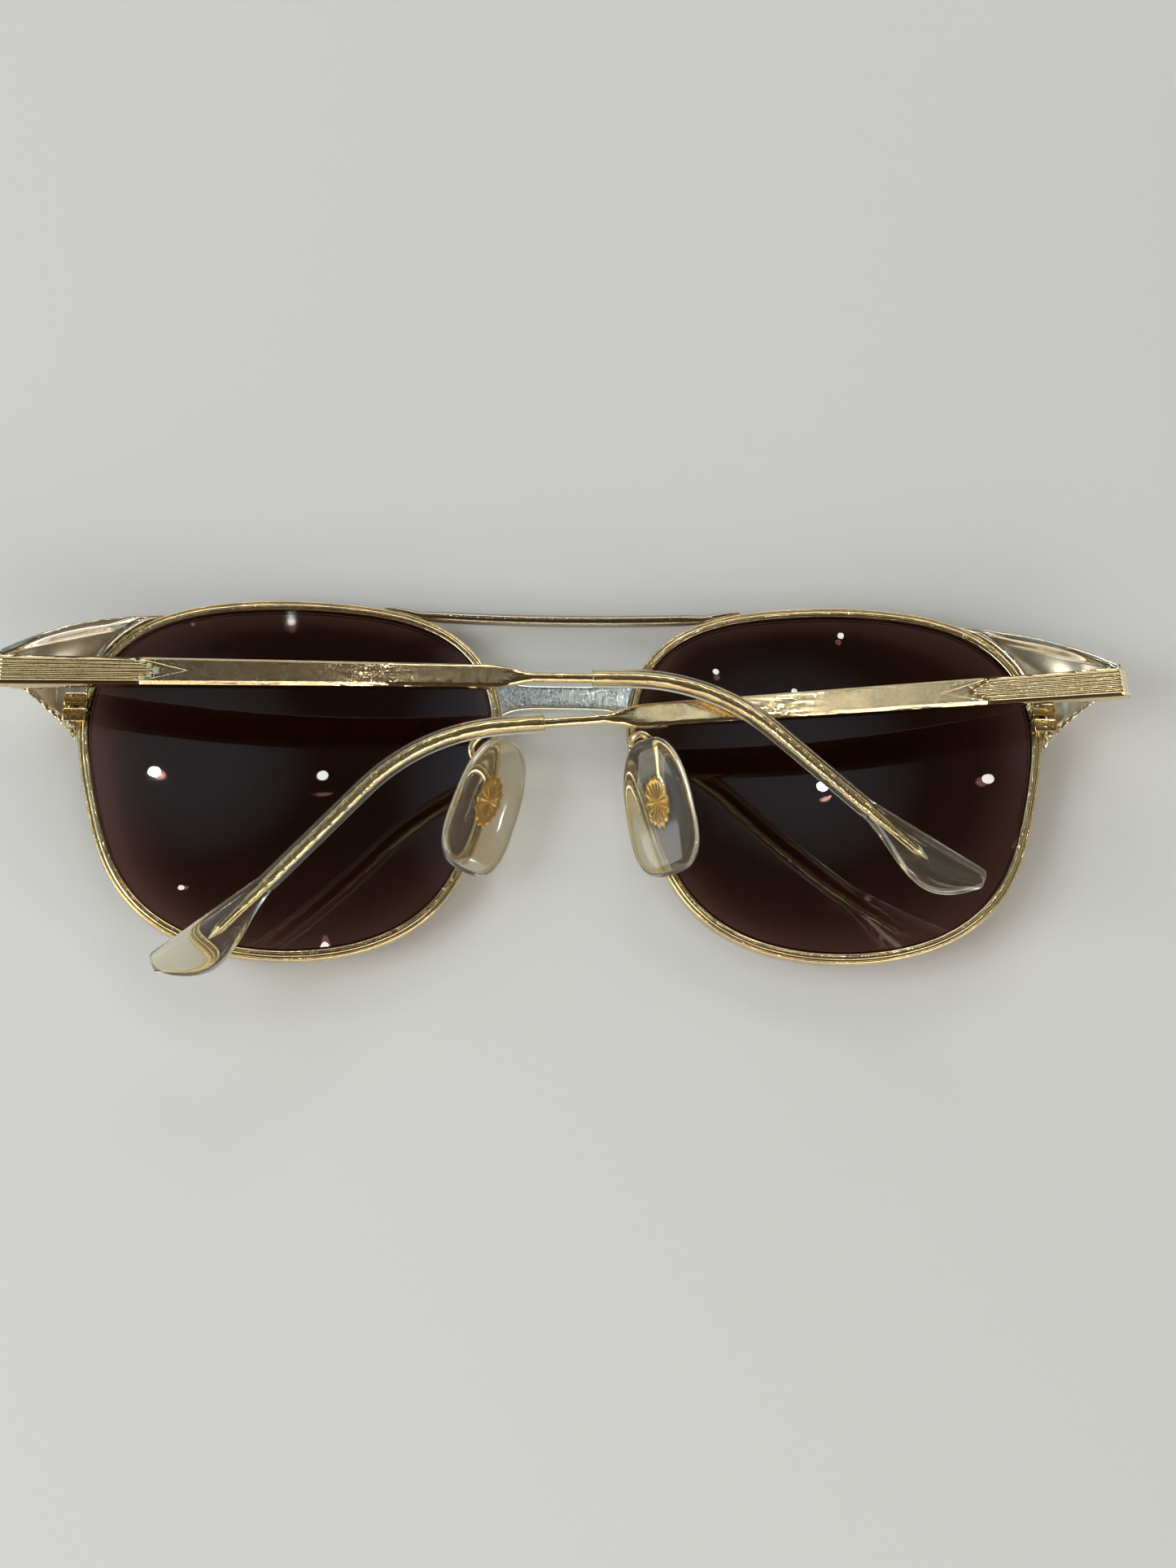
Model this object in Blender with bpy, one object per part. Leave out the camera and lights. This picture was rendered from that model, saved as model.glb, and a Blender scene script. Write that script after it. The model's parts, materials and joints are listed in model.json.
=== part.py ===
"""Folded metal sunglasses, lying face down: two eyewires with tinted lenses, a double bridge,
cranked end pieces, hinged temples with clear tips, and rocking nose pads.

Frame: +X to the wearer's right, +Y up on the wearer's face, +Z from the lenses to the face.
The lenses' front faces rest on the plane Z = 0. Units are metres.
"""
import math

import bmesh
import bpy
import numpy as np
from mathutils import Euler, Matrix, Vector

MM = 0.001
SIDES = {"left": -1, "right": 1}

# Where the middle of the lenses stands in the frame.
FRAME_Y = 1.9 * MM

# Lens openings and lenses. LENS_SHAPE holds the relative radius at each twelfth of a turn,
# from the temple side, up over the brow.
LENS_WIDTH = 51.3 * MM
LENS_HEIGHT = 46.4 * MM
LENS_GAP = 18.8 * MM
LENS_SHAPE = (25.3, 27.8, 25.2, 23.2, 25.3, 28.0, 24.8, 24.4, 24.2, 23.2, 24.3, 24.9)
LENS_CURVE = 120.0 * MM
LENS_THICK = 2.0 * MM
LENS_EDGE_GAP = 0.15 * MM
LENS_BEVEL = 0.45 * MM
LENS_BEVEL_HALF = 0.45 * MM
REST_IN = 3.7 * MM
REST_UP = 4.7 * MM
REST_RADIUS = 5.0 * MM

# Eyewires, with the V groove that holds the lens.
RIM_WIDTH = 1.35 * MM
RIM_DEPTH = 1.9 * MM
GROOVE_DEPTH = 0.75 * MM
GROOVE_HALF = 0.7 * MM
RIM_STEPS = 60
SEAT_GAP = 0.12 * MM

# Closing blocks that clamp the split eyewire, and their screw.
SPLIT_UP = 8.1 * MM
SPLIT_GAP = 0.4 * MM
BLOCK_WIDTH = 1.7 * MM
BLOCK_HEIGHT = 1.7 * MM
BLOCK_DEPTH = 1.9 * MM
BLOCK_LIFT = 0.3 * MM
CLOSING_SCREW_RADIUS = 0.45 * MM
CLOSING_HEAD_RADIUS = 0.72 * MM
CLOSING_HEAD_HEIGHT = 0.6 * MM
SCREW_CLEARANCE = 0.05 * MM

# Brow bar between the rim tops.
BROW_RADIUS = 0.68 * MM
BROW_BELOW_TOP = 0.4 * MM
BROW_UP = LENS_HEIGHT / 2 - BROW_BELOW_TOP
BROW_RISE = 0.2 * MM
BROW_LOW = 1.3 * MM
BROW_BACK = 1.4 * MM
BROW_TAPER_FROM = 15.0 * MM
BROW_END = 23.5 * MM
BROW_TIP_RADIUS = 0.28 * MM

# Lower bridge plate with a flat back.
BRIDGE_BOTTOM = 9.4 * MM
BRIDGE_TOP = 12.7 * MM
BRIDGE_FLARE = 1.0 * MM
BRIDGE_BACK = 4.2 * MM
BRIDGE_THICK = 1.7 * MM
BRIDGE_EDGE = 0.35 * MM
BRIDGE_BULGE = 0.25 * MM

# Hinges. The axis stands HINGE_OUT beyond the rim, HINGE_BELOW_TOP below the top of the lens.
HINGE_OUT = 7.55 * MM
HINGE_BELOW_TOP = 11.53 * MM
HINGE_X = LENS_GAP / 2 + LENS_WIDTH + RIM_WIDTH + HINGE_OUT
HINGE_UP = LENS_HEIGHT / 2 - HINGE_BELOW_TOP
HINGE_Z = 10.0 * MM
HINGE_RADIUS = 1.15 * MM
HINGE_LENGTH = 3.4 * MM
HINGE_MIDDLE = 1.3 * MM
HINGE_PLAY = 0.12 * MM
HINGE_BORE = 0.6 * MM
HINGE_SCREW_RADIUS = 0.54 * MM
HINGE_HEAD_RADIUS = 0.95 * MM
HINGE_HEAD_HEIGHT = 0.35 * MM
HINGE_SCREW_SHORT = 0.2 * MM
LEAF_THICK = 0.5 * MM
FRONT_LEAF_THICK = 1.0 * MM
FRONT_LEAF_LENGTH = 3.4 * MM
TEMPLE_LEAF_LENGTH = 5.5 * MM

# End pieces: cranked pressings from the rim to the hinge, dished at the back.
END_LOW_ANGLE = math.radians(8.8)
END_HIGH_ANGLE = math.radians(51.0)
END_TIP = 2.9 * MM
END_TIP_LOW = 0.9 * MM
END_TIP_HIGH = 3.3 * MM
END_THICK = 0.7 * MM
END_LIP = 0.8 * MM
END_FOOT_LIP = 0.45 * MM
END_CRANK_FROM = 0.27
END_CRANK_TO = 0.66
END_LOW_BEND = 0.5
END_HIGH_BEND = 0.505
END_HIGH_FALL = 0.226

# Temples: a flat bar, a shoulder, and a core wire that runs into the clear tip.
TEMPLE_DROP = {"left": math.radians(0.62), "right": math.radians(4.87)}
TEMPLE_LIFT = {"left": math.radians(1.45), "right": 0.0}
BAR_OFFSET = 1.0 * MM
BAR_BUTT = 2.2 * MM
BAR_HEIGHT = 3.9 * MM
BAR_END_HEIGHT = 3.0 * MM
BAR_THICK = 1.8 * MM
BAR_END_THICK = 1.5 * MM
BAR_CHAMFER = 0.25 * MM
BAR_POWER = 7
BAR_LENGTH = 61.0 * MM
SHOULDER_LENGTH = 5.0 * MM
CORE_RADIUS = 0.65 * MM
TIP_START = 72.8 * MM
TIP_RADIUS = 1.2 * MM
TIP_BORE_CLEARANCE = 0.1 * MM
TIP_CHAMFER = 0.25 * MM
BEND_START = 77.9 * MM
BEND_RADIUS = 26.8 * MM
BEND_ANGLE = math.radians(41.9)
TEMPLE_LENGTH = {"left": 129.3 * MM, "right": 131.4 * MM}
CORE_SHORT = 7.3 * MM
CORE_POINT = 2.0 * MM

# The tip ends in a slanted teardrop, which swells above and below the path and closes at PADDLE_POINT.
PADDLE_LENGTH = 17.0 * MM
PADDLE_ABOVE = 2.8 * MM
PADDLE_ABOVE_FULL = 0.9
PADDLE_ABOVE_ROUND = 3
PADDLE_BELOW = 2.1 * MM
PADDLE_BELOW_FULL = 0.62
PADDLE_BELOW_ROUND = 2.4
PADDLE_POINT = 1.8 * MM
PADDLE_BLUNT = 0.4 * MM
PADDLE_THICK = 0.85 * MM
PADDLE_POWER = 2.2

# Nose pads on rocking pins, and the arms that carry them. The pads are bent to unlike places.
PAD_OUT = {"left": 1.4 * MM, "right": 3.3 * MM}
PAD_UP = -4.1 * MM
PAD_Z = 5.9 * MM
PAD_SPLAY = math.radians(30.0)
PAD_LEAN = {"left": math.radians(18.0), "right": math.radians(9.5)}
PAD_LENGTH = 18.3 * MM
PAD_WIDTH = 9.2 * MM
PAD_TAPER = 0.14
PAD_POWER = 2.8
PAD_THICK = 2.4 * MM
PAD_BACK = 1.0 * MM
PAD_MIDDLE = 0.5 * MM
INSERT_LENGTH = 6.8 * MM
INSERT_WIDTH = 3.2 * MM
INSERT_THICK = 0.5 * MM
INSERT_POCKET = 0.9 * MM
INSERT_CLEARANCE = 0.1 * MM
INSERT_CHAMFER = 0.15 * MM
LUG_HALF = 0.45 * MM
LUG_RADIUS = 0.75 * MM
PIN_RADIUS = 0.3 * MM
PIN_CLEARANCE = 0.05 * MM
PIN_PROUD = 0.1 * MM
EAR_THICK = 0.4 * MM
EAR_GAP = 0.1 * MM
BOX_HALF = 1.0 * MM
BOX_FLOOR = 0.4 * MM
ARM_RADIUS = 0.48 * MM
ARM_UP = 5.2 * MM
ARM_RISE = 1.6 * MM
ARM_LOOP_OUT = 3.2 * MM
ARM_LOOP_UP = 3.3 * MM
ARM_LEAD = 2.2 * MM
ARM_BUMP = 0.3 * MM

GOLD = ("gold plate", (0.71, 0.56, 0.30), 0.22, 1.0)
PALE_GOLD = ("pale gold plate", (0.76, 0.66, 0.45), 0.18, 1.0)
STEEL = ("screw steel", (0.62, 0.56, 0.44), 0.30, 1.0)
BROWN_GLASS = ("brown tinted glass", (0.035, 0.018, 0.018), 0.04, 0.0)
CLEAR_PLASTIC = ("aged clear plastic", (0.80, 0.77, 0.62), 0.12, 0.0)


def clear_scene():
    for thing in list(bpy.data.objects):
        bpy.data.objects.remove(thing, do_unlink=True)


def material(name, finish):
    """A Principled material of the finish, one for each object."""
    label, colour, roughness, metallic = finish
    made = bpy.data.materials.new(f"{name} {label}")
    made.use_nodes = True
    shader = made.node_tree.nodes["Principled BSDF"]
    shader.inputs["Base Color"].default_value = (*colour, 1.0)
    shader.inputs["Roughness"].default_value = roughness
    shader.inputs["Metallic"].default_value = metallic
    return made


def add_object(name, bm, finish, parent, smooth=True):
    """Turns a bmesh into a named object under its parent."""
    bmesh.ops.recalc_face_normals(bm, faces=bm.faces)
    mesh = bpy.data.meshes.new(name)
    bm.to_mesh(mesh)
    bm.free()
    thing = bpy.data.objects.new(name, mesh)
    bpy.context.collection.objects.link(thing)
    thing.parent = parent
    if finish:
        mesh.materials.append(material(name, finish))
    if smooth:
        mesh.shade_smooth()
        mesh.set_sharp_from_angle(angle=math.radians(35))
    return thing


def add_empty(name, parent=None, place=(0, 0, 0), turn=(0, 0, 0)):
    empty = bpy.data.objects.new(name, None)
    empty.empty_display_size = 4 * MM
    bpy.context.collection.objects.link(empty)
    empty.parent = parent
    empty.location = place
    empty.rotation_euler = turn
    return empty


def add_cutter(name, bm, target, operation):
    """A hidden helper that a Boolean takes from the target, or adds to it."""
    helper = add_object(name, bm, None, target.parent, smooth=False)
    helper.hide_render = True
    helper.display_type = "WIRE"
    boolean = target.modifiers.new(name, "BOOLEAN")
    boolean.operation = operation
    boolean.solver = "EXACT"
    boolean.object = helper


def loft(rings, closed=False):
    """Skins a row of rings that have the same number of points, and caps the two ends."""
    bm = bmesh.new()
    loops = [[bm.verts.new(point) for point in ring] for ring in rings]
    count = len(loops[0])
    for low, high in zip(loops, loops[1:] + loops[:1] if closed else loops[1:]):
        for i in range(count):
            j = (i + 1) % count
            bm.faces.new((low[i], low[j], high[j], high[i]))
    if not closed:
        bm.faces.new(loops[0])
        bm.faces.new(loops[-1])
    return bm


def slab(back, front):
    """A closed sheet between two grids of points, shaped (rows, columns, 3)."""
    bm = bmesh.new()
    rows, columns = back.shape[:2]
    layers = [[[bm.verts.new(p) for p in row] for row in grid] for grid in (back, front)]
    for layer in layers:
        for i in range(rows - 1):
            for j in range(columns - 1):
                bm.faces.new((layer[i][j], layer[i + 1][j], layer[i + 1][j + 1], layer[i][j + 1]))
    rim = [(i, 0) for i in range(rows)]
    rim += [(rows - 1, j) for j in range(1, columns)]
    rim += [(i, columns - 1) for i in range(rows - 2, -1, -1)]
    rim += [(0, j) for j in range(columns - 2, 0, -1)]
    for (a, b), (c, d) in zip(rim, rim[1:] + rim[:1]):
        bm.faces.new((layers[0][a][b], layers[0][c][d], layers[1][c][d], layers[1][a][b]))
    return bm


def box(low, high):
    """A box between two corners."""
    bm = bmesh.new()
    bmesh.ops.create_cube(bm, size=1.0)
    size = np.subtract(high, low)
    middle = np.add(high, low) / 2
    bmesh.ops.scale(bm, vec=Vector(size), verts=bm.verts)
    bmesh.ops.translate(bm, vec=Vector(middle), verts=bm.verts)
    return bm


def turned(profile, axis, steps=16):
    """A round body: (distance along the axis, radius) pairs, about "X" or "Y" through the origin."""
    angles = np.linspace(0, 2 * math.pi, steps, endpoint=False)
    rings = []
    for along, radius in profile:
        flat = np.full(steps, along)
        across, over = radius * np.cos(angles), radius * np.sin(angles)
        columns = (flat, across, over) if axis == "X" else (across, flat, over)
        rings.append(np.stack(columns, 1))
    return loft(rings)


def moved(bm, place):
    bmesh.ops.translate(bm, vec=Vector(place), verts=bm.verts)
    return bm


def smoothstep(value, low, high):
    t = np.clip((value - low) / (high - low), 0, 1)
    return t * t * (3 - 2 * t)


def rounded_section(half_width, half_height, power, steps=16):
    """A superellipse: power 2 is round, a high power is a bar with eased corners."""
    angle = np.linspace(0, 2 * math.pi, steps, endpoint=False)
    across, over = np.cos(angle), np.sin(angle)
    share = 2 / power
    x = half_width * np.sign(across) * np.abs(across) ** share
    y = half_height * np.sign(over) * np.abs(over) ** share
    return np.stack((x, y), 1)


# The lens outline, for the right lens; the left one is its mirror image.
LENS_X = LENS_GAP / 2 + LENS_WIDTH / 2
REST_X = LENS_X - REST_IN


def shape_radius(angle):
    """The smooth periodic curve through LENS_SHAPE: a sum of cosines up to half its points."""
    count = len(LENS_SHAPE)
    waves = np.fft.rfft(LENS_SHAPE) / count
    total = np.full_like(angle, waves[0].real)
    for k in range(1, len(waves)):
        weight = 1 if 2 * k == count else 2
        total += weight * (waves[k].real * np.cos(k * angle) - waves[k].imag * np.sin(k * angle))
    return total


def unit_outline(angle):
    radius = shape_radius(angle)
    return np.stack((radius * np.cos(angle), radius * np.sin(angle)), -1)


def outline(angle, offset=0.0):
    """Points of the lens opening at these polar angles, moved outwards by offset."""
    angle = np.asarray(angle, float)
    around = unit_outline(np.linspace(0, 2 * math.pi, 720))
    low, high = around.min(0), around.max(0)
    scale = np.array((LENS_WIDTH, LENS_HEIGHT)) / (high - low)
    step = 1e-4
    points = (unit_outline(angle) - (low + high) / 2) * scale
    along = (unit_outline(angle + step) - unit_outline(angle - step)) * scale
    along /= np.linalg.norm(along, axis=-1, keepdims=True)
    outward = np.stack((along[..., 1], -along[..., 0]), -1)
    return points + outward * offset + (LENS_X, 0)


def angle_at(height, temple_side=True):
    """The polar angle where the opening's temple or nose side passes this height."""
    start = -0.9 if temple_side else math.pi - 0.9
    angles = np.linspace(start, start + 1.8, 400)
    heights = outline(angles)[:, 1]
    order = np.argsort(heights)
    return float(np.interp(height, heights[order], angles[order]))


def rim_edge_x(height, temple_side, offset=RIM_WIDTH):
    """X of the rim's outer edge at a height, on its temple or nose side."""
    start = -1.0 if temple_side else math.pi - 1.0
    points = outline(np.linspace(start, start + 2.0, 400), offset)
    order = np.argsort(points[:, 1])
    return np.interp(height, points[order, 1], points[order, 0])


def rim_top_y(across, offset=RIM_WIDTH):
    """Y of the rim's outer edge over the brow at a distance from the middle."""
    points = outline(np.linspace(0.6, 2.9, 400), offset)
    order = np.argsort(points[:, 0])
    return np.interp(across, points[order, 0], points[order, 1])


def lens_front(x, y):
    """Height of the lens's front face: a sphere cap, flat where it rests."""
    squared = (x - REST_X) ** 2 + (y - REST_UP) ** 2
    return np.maximum(0, (squared - REST_RADIUS ** 2) / (2 * LENS_CURVE))


def rim_middle(points):
    """Height of the rim's middle at points of its outline."""
    return lens_front(points[..., 0], points[..., 1]) + LENS_THICK / 2


def on_side(points, side):
    """Mirrors points that were worked out for the right side."""
    return np.asarray(points) * (side, 1, 1)


def make_eyewire(name, side, root):
    split = angle_at(SPLIT_UP)
    half = SPLIT_GAP / LENS_WIDTH
    angles = np.linspace(split + half, split + 2 * math.pi - half, RIM_STEPS)
    half_depth = RIM_DEPTH / 2
    profile = (
        (0.0, half_depth),
        (RIM_WIDTH * 0.7, half_depth),
        (RIM_WIDTH, half_depth * 0.45),
        (RIM_WIDTH, -half_depth * 0.45),
        (RIM_WIDTH * 0.7, -half_depth),
        (0.0, -half_depth),
        (0.0, -GROOVE_HALF),
        (GROOVE_DEPTH, 0.0),
        (0.0, GROOVE_HALF),
    )
    base = rim_middle(outline(angles))
    lines = []
    for out, back in profile:
        lines.append(np.column_stack((outline(angles, out), base + back)))
    rings = on_side(np.stack(lines, 1), side)
    return add_object(f"{name}_eyewire", loft(rings), GOLD, root)


def make_lens(name, side, root):
    angles = np.linspace(0, 2 * math.pi, 48, endpoint=False)
    edge = outline(angles, -LENS_EDGE_GAP)
    apex = outline(angles, LENS_BEVEL)
    rest = np.array((REST_X, REST_UP))
    away = edge - rest
    patch = rest + REST_RADIUS * away / np.linalg.norm(away, axis=1, keepdims=True)
    middle = rim_middle(outline(angles))
    front_rings = []
    back_rings = []
    for share in (0.0, 0.34, 0.68, 1.0):
        flat = patch + (edge - patch) * share
        height = lens_front(flat[:, 0], flat[:, 1])
        front_rings.append(np.column_stack((flat, height)))
        back_rings.append(np.column_stack((flat, height + LENS_THICK)))
    bevel = [
        np.column_stack((edge, middle - LENS_BEVEL_HALF)),
        np.column_stack((apex, middle)),
        np.column_stack((edge, middle + LENS_BEVEL_HALF)),
    ]
    rings = front_rings + bevel + back_rings[::-1]
    return add_object(f"{name}_lens", loft([on_side(r, side) for r in rings]), BROWN_GLASS, root)


def make_brow_bar(root):
    across = np.linspace(-BROW_END, BROW_END, 33)
    reach = np.abs(across)
    fade = np.clip((reach - BROW_TAPER_FROM) / (BROW_END - BROW_TAPER_FROM), 0, 1)
    radius = BROW_RADIUS + (BROW_TIP_RADIUS - BROW_RADIUS) * fade
    free = BROW_UP + BROW_RISE * (across / BROW_END) ** 2
    seat = rim_top_y(reach) + radius + SEAT_GAP
    up = np.where(reach > LENS_GAP / 2, np.maximum(free, seat), free)
    back = BROW_LOW + BROW_BACK * (across / BROW_END) ** 2
    section = rounded_section(1.0, 1.0, 2, 12)
    rings = []
    for x, y, z, r in zip(across, up, back, radius):
        columns = (np.full(len(section), x), y + r * section[:, 0], z + r * section[:, 1])
        rings.append(np.column_stack(columns))
    return add_object("brow_bar", loft(rings), GOLD, root)


def make_bridge(root):
    shares = np.linspace(-1, 1, 17)
    bulge = np.abs(shares) ** 5 * BRIDGE_FLARE
    low, high = BRIDGE_BOTTOM - bulge, BRIDGE_TOP + bulge * 1.3
    levels = np.array((0.0, 0.12, 0.5, 0.88, 1.0))
    up = low[:, None] + (high - low)[:, None] * levels
    reach = rim_edge_x(up.ravel(), False, RIM_WIDTH + SEAT_GAP).reshape(up.shape)
    across = reach * shares[:, None]
    back = np.full(up.shape, BRIDGE_BACK)
    ease = np.array((1.0, 0.0, 0.0, 0.0, 1.0)) * BRIDGE_EDGE
    front = back - BRIDGE_THICK - BRIDGE_BULGE * (1 - shares[:, None] ** 2) + ease
    grids = [np.stack((across, up, height), -1) for height in (back, front)]
    return add_object("bridge", slab(*grids), PALE_GOLD, root)


def curve_point(start, control, end, share):
    """A quadratic curve from start to end, pulled towards the control point."""
    share = np.asarray(share)[..., None]
    return (1 - share) ** 2 * start + 2 * share * (1 - share) * control + share ** 2 * end


def end_piece_floor():
    """The back of the end piece at the hinge, where the front leaf lies."""
    return HINGE_Z - HINGE_RADIUS - HINGE_PLAY - FRONT_LEAF_THICK - SEAT_GAP


def end_piece_grid():
    """Plan of the end piece: a patch between the rim, the two edges and the hinge tip."""
    out = np.array((0, 0.07, 0.16, 0.27, 0.4, 0.53, 0.66, 0.8, 0.9, 1.0))
    up = np.array((0, 0.08, 0.2, 0.32, 0.44, 0.56, 0.68, 0.8, 0.92, 1.0))
    angles = END_LOW_ANGLE + (END_HIGH_ANGLE - END_LOW_ANGLE) * up
    rim = outline(angles, RIM_WIDTH + SEAT_GAP)
    tip_x = HINGE_X + END_TIP
    tip_y = HINGE_UP - END_TIP_LOW + (END_TIP_LOW + END_TIP_HIGH) * up
    tip = np.column_stack((np.full(len(up), tip_x), tip_y))
    low_control = np.array((rim[0, 0] + (tip_x - rim[0, 0]) * END_LOW_BEND, tip[0, 1]))
    high_control = rim[-1] + (tip[-1] - rim[-1]) * (END_HIGH_BEND, END_HIGH_FALL)
    low = curve_point(rim[0], low_control, tip[0], out)
    high = curve_point(rim[-1], high_control, tip[-1], out)
    u, v = out[:, None, None], up[None, :, None]
    ruled_v = (1 - v) * low[:, None] + v * high[:, None]
    ruled_u = (1 - u) * rim[None] + u * tip[None]
    corners = (1 - u) * ((1 - v) * rim[0] + v * rim[-1]) + u * ((1 - v) * tip[0] + v * tip[-1])
    return out, up, ruled_v + ruled_u - corners, rim


def make_end_piece(name, side, root):
    out, up, plan, rim = end_piece_grid()
    start = lens_front(rim[:, 0], rim[:, 1]) + END_THICK
    rise = smoothstep(out, END_CRANK_FROM, END_CRANK_TO)[:, None]
    floor = start[None, :] + (end_piece_floor() - start)[None, :] * rise
    fade = 1 - smoothstep(out, END_CRANK_FROM, END_CRANK_TO)
    edges = np.zeros(len(up))
    edges[0], edges[-1] = END_FOOT_LIP, END_LIP
    first = np.where(out == 0, END_LIP, 0.0)
    beside_rim = first[:, None] * smoothstep(up, 0.4, 0.55)[None, :]
    lip = np.maximum(fade[:, None] * edges[None, :], beside_rim)
    back = np.dstack((plan, floor + lip))
    front = np.dstack((plan, floor - END_THICK))
    bm = slab(on_side(back, side), on_side(front, side))
    return add_object(f"{name}_end_piece", bm, PALE_GOLD, root)


def closing_place():
    """Centre line of the closing screw: X and Z."""
    edge = float(rim_edge_x(SPLIT_UP, True)) + SEAT_GAP
    point = outline(angle_at(SPLIT_UP), RIM_WIDTH)
    low = float(lens_front(point[0], point[1])) + END_THICK + BLOCK_LIFT
    return edge + BLOCK_WIDTH / 2, low + BLOCK_DEPTH / 2


def make_closing(name, side, root):
    """The two blocks that clamp the split rim, and the screw through them."""
    screw_x, screw_z = closing_place()
    spans = {
        "upper": (SPLIT_UP + SPLIT_GAP / 2, SPLIT_UP + SPLIT_GAP / 2 + BLOCK_HEIGHT),
        "lower": (SPLIT_UP - SPLIT_GAP / 2 - BLOCK_HEIGHT, SPLIT_UP - SPLIT_GAP / 2),
    }
    for label, (low, high) in spans.items():
        inner = max(float(rim_edge_x(low, True)), float(rim_edge_x(high, True))) + SEAT_GAP
        first = np.array((inner, low, screw_z - BLOCK_DEPTH / 2))
        last = np.array((inner + BLOCK_WIDTH, high, screw_z + BLOCK_DEPTH / 2))
        bm = box(*np.sort((first * (side, 1, 1), last * (side, 1, 1)), axis=0))
        block = add_object(f"{name}_closing_block_{label}", bm, GOLD, root)
        hole = CLOSING_SCREW_RADIUS + SCREW_CLEARANCE
        bore = turned(((low - MM, hole), (high + MM, hole)), "Y", 12)
        bore = moved(bore, (side * screw_x, 0, screw_z))
        add_cutter(f"{name}_closing_bore_{label}", bore, block, "DIFFERENCE")
    foot = spans["lower"][0] - SCREW_CLEARANCE
    top = spans["upper"][1] - BLOCK_HEIGHT * 0.2
    profile = (
        (foot - CLOSING_HEAD_HEIGHT, CLOSING_HEAD_RADIUS * 0.8),
        (foot - CLOSING_HEAD_HEIGHT * 0.6, CLOSING_HEAD_RADIUS),
        (foot, CLOSING_HEAD_RADIUS),
        (foot, CLOSING_SCREW_RADIUS),
        (top, CLOSING_SCREW_RADIUS),
    )
    screw = moved(turned(profile, "Y", 12), (side * screw_x, 0, screw_z))
    add_object(f"{name}_closing_screw", screw, STEEL, root)


def knuckle(low, high, web_to):
    """A barrel about the hinge axis, half of it squared off into a web that ends at Z web_to."""
    angle = np.linspace(0, math.pi, 11)
    away = -math.copysign(HINGE_RADIUS, web_to)
    across = np.append(HINGE_RADIUS * np.cos(angle), (-HINGE_RADIUS / 2, HINGE_RADIUS / 2))
    height = np.append(away * np.sin(angle), (web_to, web_to))
    rings = [np.column_stack((across, np.full(len(across), y), height)) for y in (low, high)]
    return loft(rings)


def make_hinge(name, side, root, swing):
    """Front leaf and screw on the end piece, temple leaf on the bar. Local X runs outwards."""
    half = HINGE_LENGTH / 2
    middle = HINGE_MIDDLE / 2
    turn = side * TEMPLE_DROP[name]
    seat = add_empty(f"{name}_hinge_seat", root, (side * HINGE_X, HINGE_UP, HINGE_Z), (0, 0, turn))
    floor = end_piece_floor() + SEAT_GAP - HINGE_Z
    ends = [(-half, -middle - HINGE_PLAY), (middle + HINGE_PLAY, half)]
    inner_corner = (-side * FRONT_LEAF_LENGTH, -half, floor)
    outer_corner = (side * HINGE_RADIUS / 2, half, floor + FRONT_LEAF_THICK)
    corners = (inner_corner, outer_corner)
    plate = box(*np.sort(corners, axis=0))
    leaf = add_object(f"{name}_hinge_front_leaf", plate, GOLD, seat)
    for label, (low, high) in zip(("low", "high"), ends):
        barrel = knuckle(low, high, floor + FRONT_LEAF_THICK / 2)
        add_cutter(f"{name}_front_knuckle_{label}", barrel, leaf, "UNION")
    bore = turned(((-half - MM, HINGE_BORE), (half + MM, HINGE_BORE)), "Y", 12)
    add_cutter(f"{name}_front_bore", bore, leaf, "DIFFERENCE")
    profile = (
        (-half + HINGE_SCREW_SHORT, HINGE_SCREW_RADIUS),
        (half + SCREW_CLEARANCE, HINGE_SCREW_RADIUS),
        (half + SCREW_CLEARANCE, HINGE_HEAD_RADIUS),
        (half + SCREW_CLEARANCE + HINGE_HEAD_HEIGHT * 0.6, HINGE_HEAD_RADIUS),
        (half + SCREW_CLEARANCE + HINGE_HEAD_HEIGHT, HINGE_HEAD_RADIUS * 0.75),
    )
    add_object(f"{name}_hinge_screw", turned(profile, "Y", 12), STEEL, seat)

    face = bar_inner()
    strip_low, strip_high = face - SEAT_GAP - LEAF_THICK, face - SEAT_GAP
    inner_corner = (-side * TEMPLE_LEAF_LENGTH, -middle, strip_low)
    outer_corner = (side * HINGE_RADIUS / 2, middle, strip_high)
    corners = (inner_corner, outer_corner)
    plate = box(*np.sort(corners, axis=0))
    leaf = add_object(f"{name}_hinge_temple_leaf", plate, GOLD, swing)
    barrel = knuckle(-middle, middle, strip_low + LEAF_THICK / 2)
    add_cutter(f"{name}_temple_knuckle", barrel, leaf, "UNION")
    bore = turned(((-half, HINGE_BORE), (half, HINGE_BORE)), "Y", 12)
    add_cutter(f"{name}_temple_bore", bore, leaf, "DIFFERENCE")


def bar_inner():
    """The bar's inner face behind the hinge axis."""
    return HINGE_RADIUS + LEAF_THICK / 2 + SEAT_GAP


def temple_path(length):
    """Centre line of the temple by its length from the hinge: along, up and the direction's angle."""
    arc = BEND_RADIUS * BEND_ANGLE
    bent = np.clip((length - BEND_START) / BEND_RADIUS, 0, BEND_ANGLE)
    straight = np.minimum(length, BEND_START)
    past = np.maximum(length - BEND_START - arc, 0)
    along = straight + BEND_RADIUS * np.sin(bent) + past * math.cos(BEND_ANGLE)
    up = -BEND_RADIUS * (1 - np.cos(bent)) - past * math.sin(BEND_ANGLE)
    return along, up - BAR_OFFSET, bent


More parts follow.
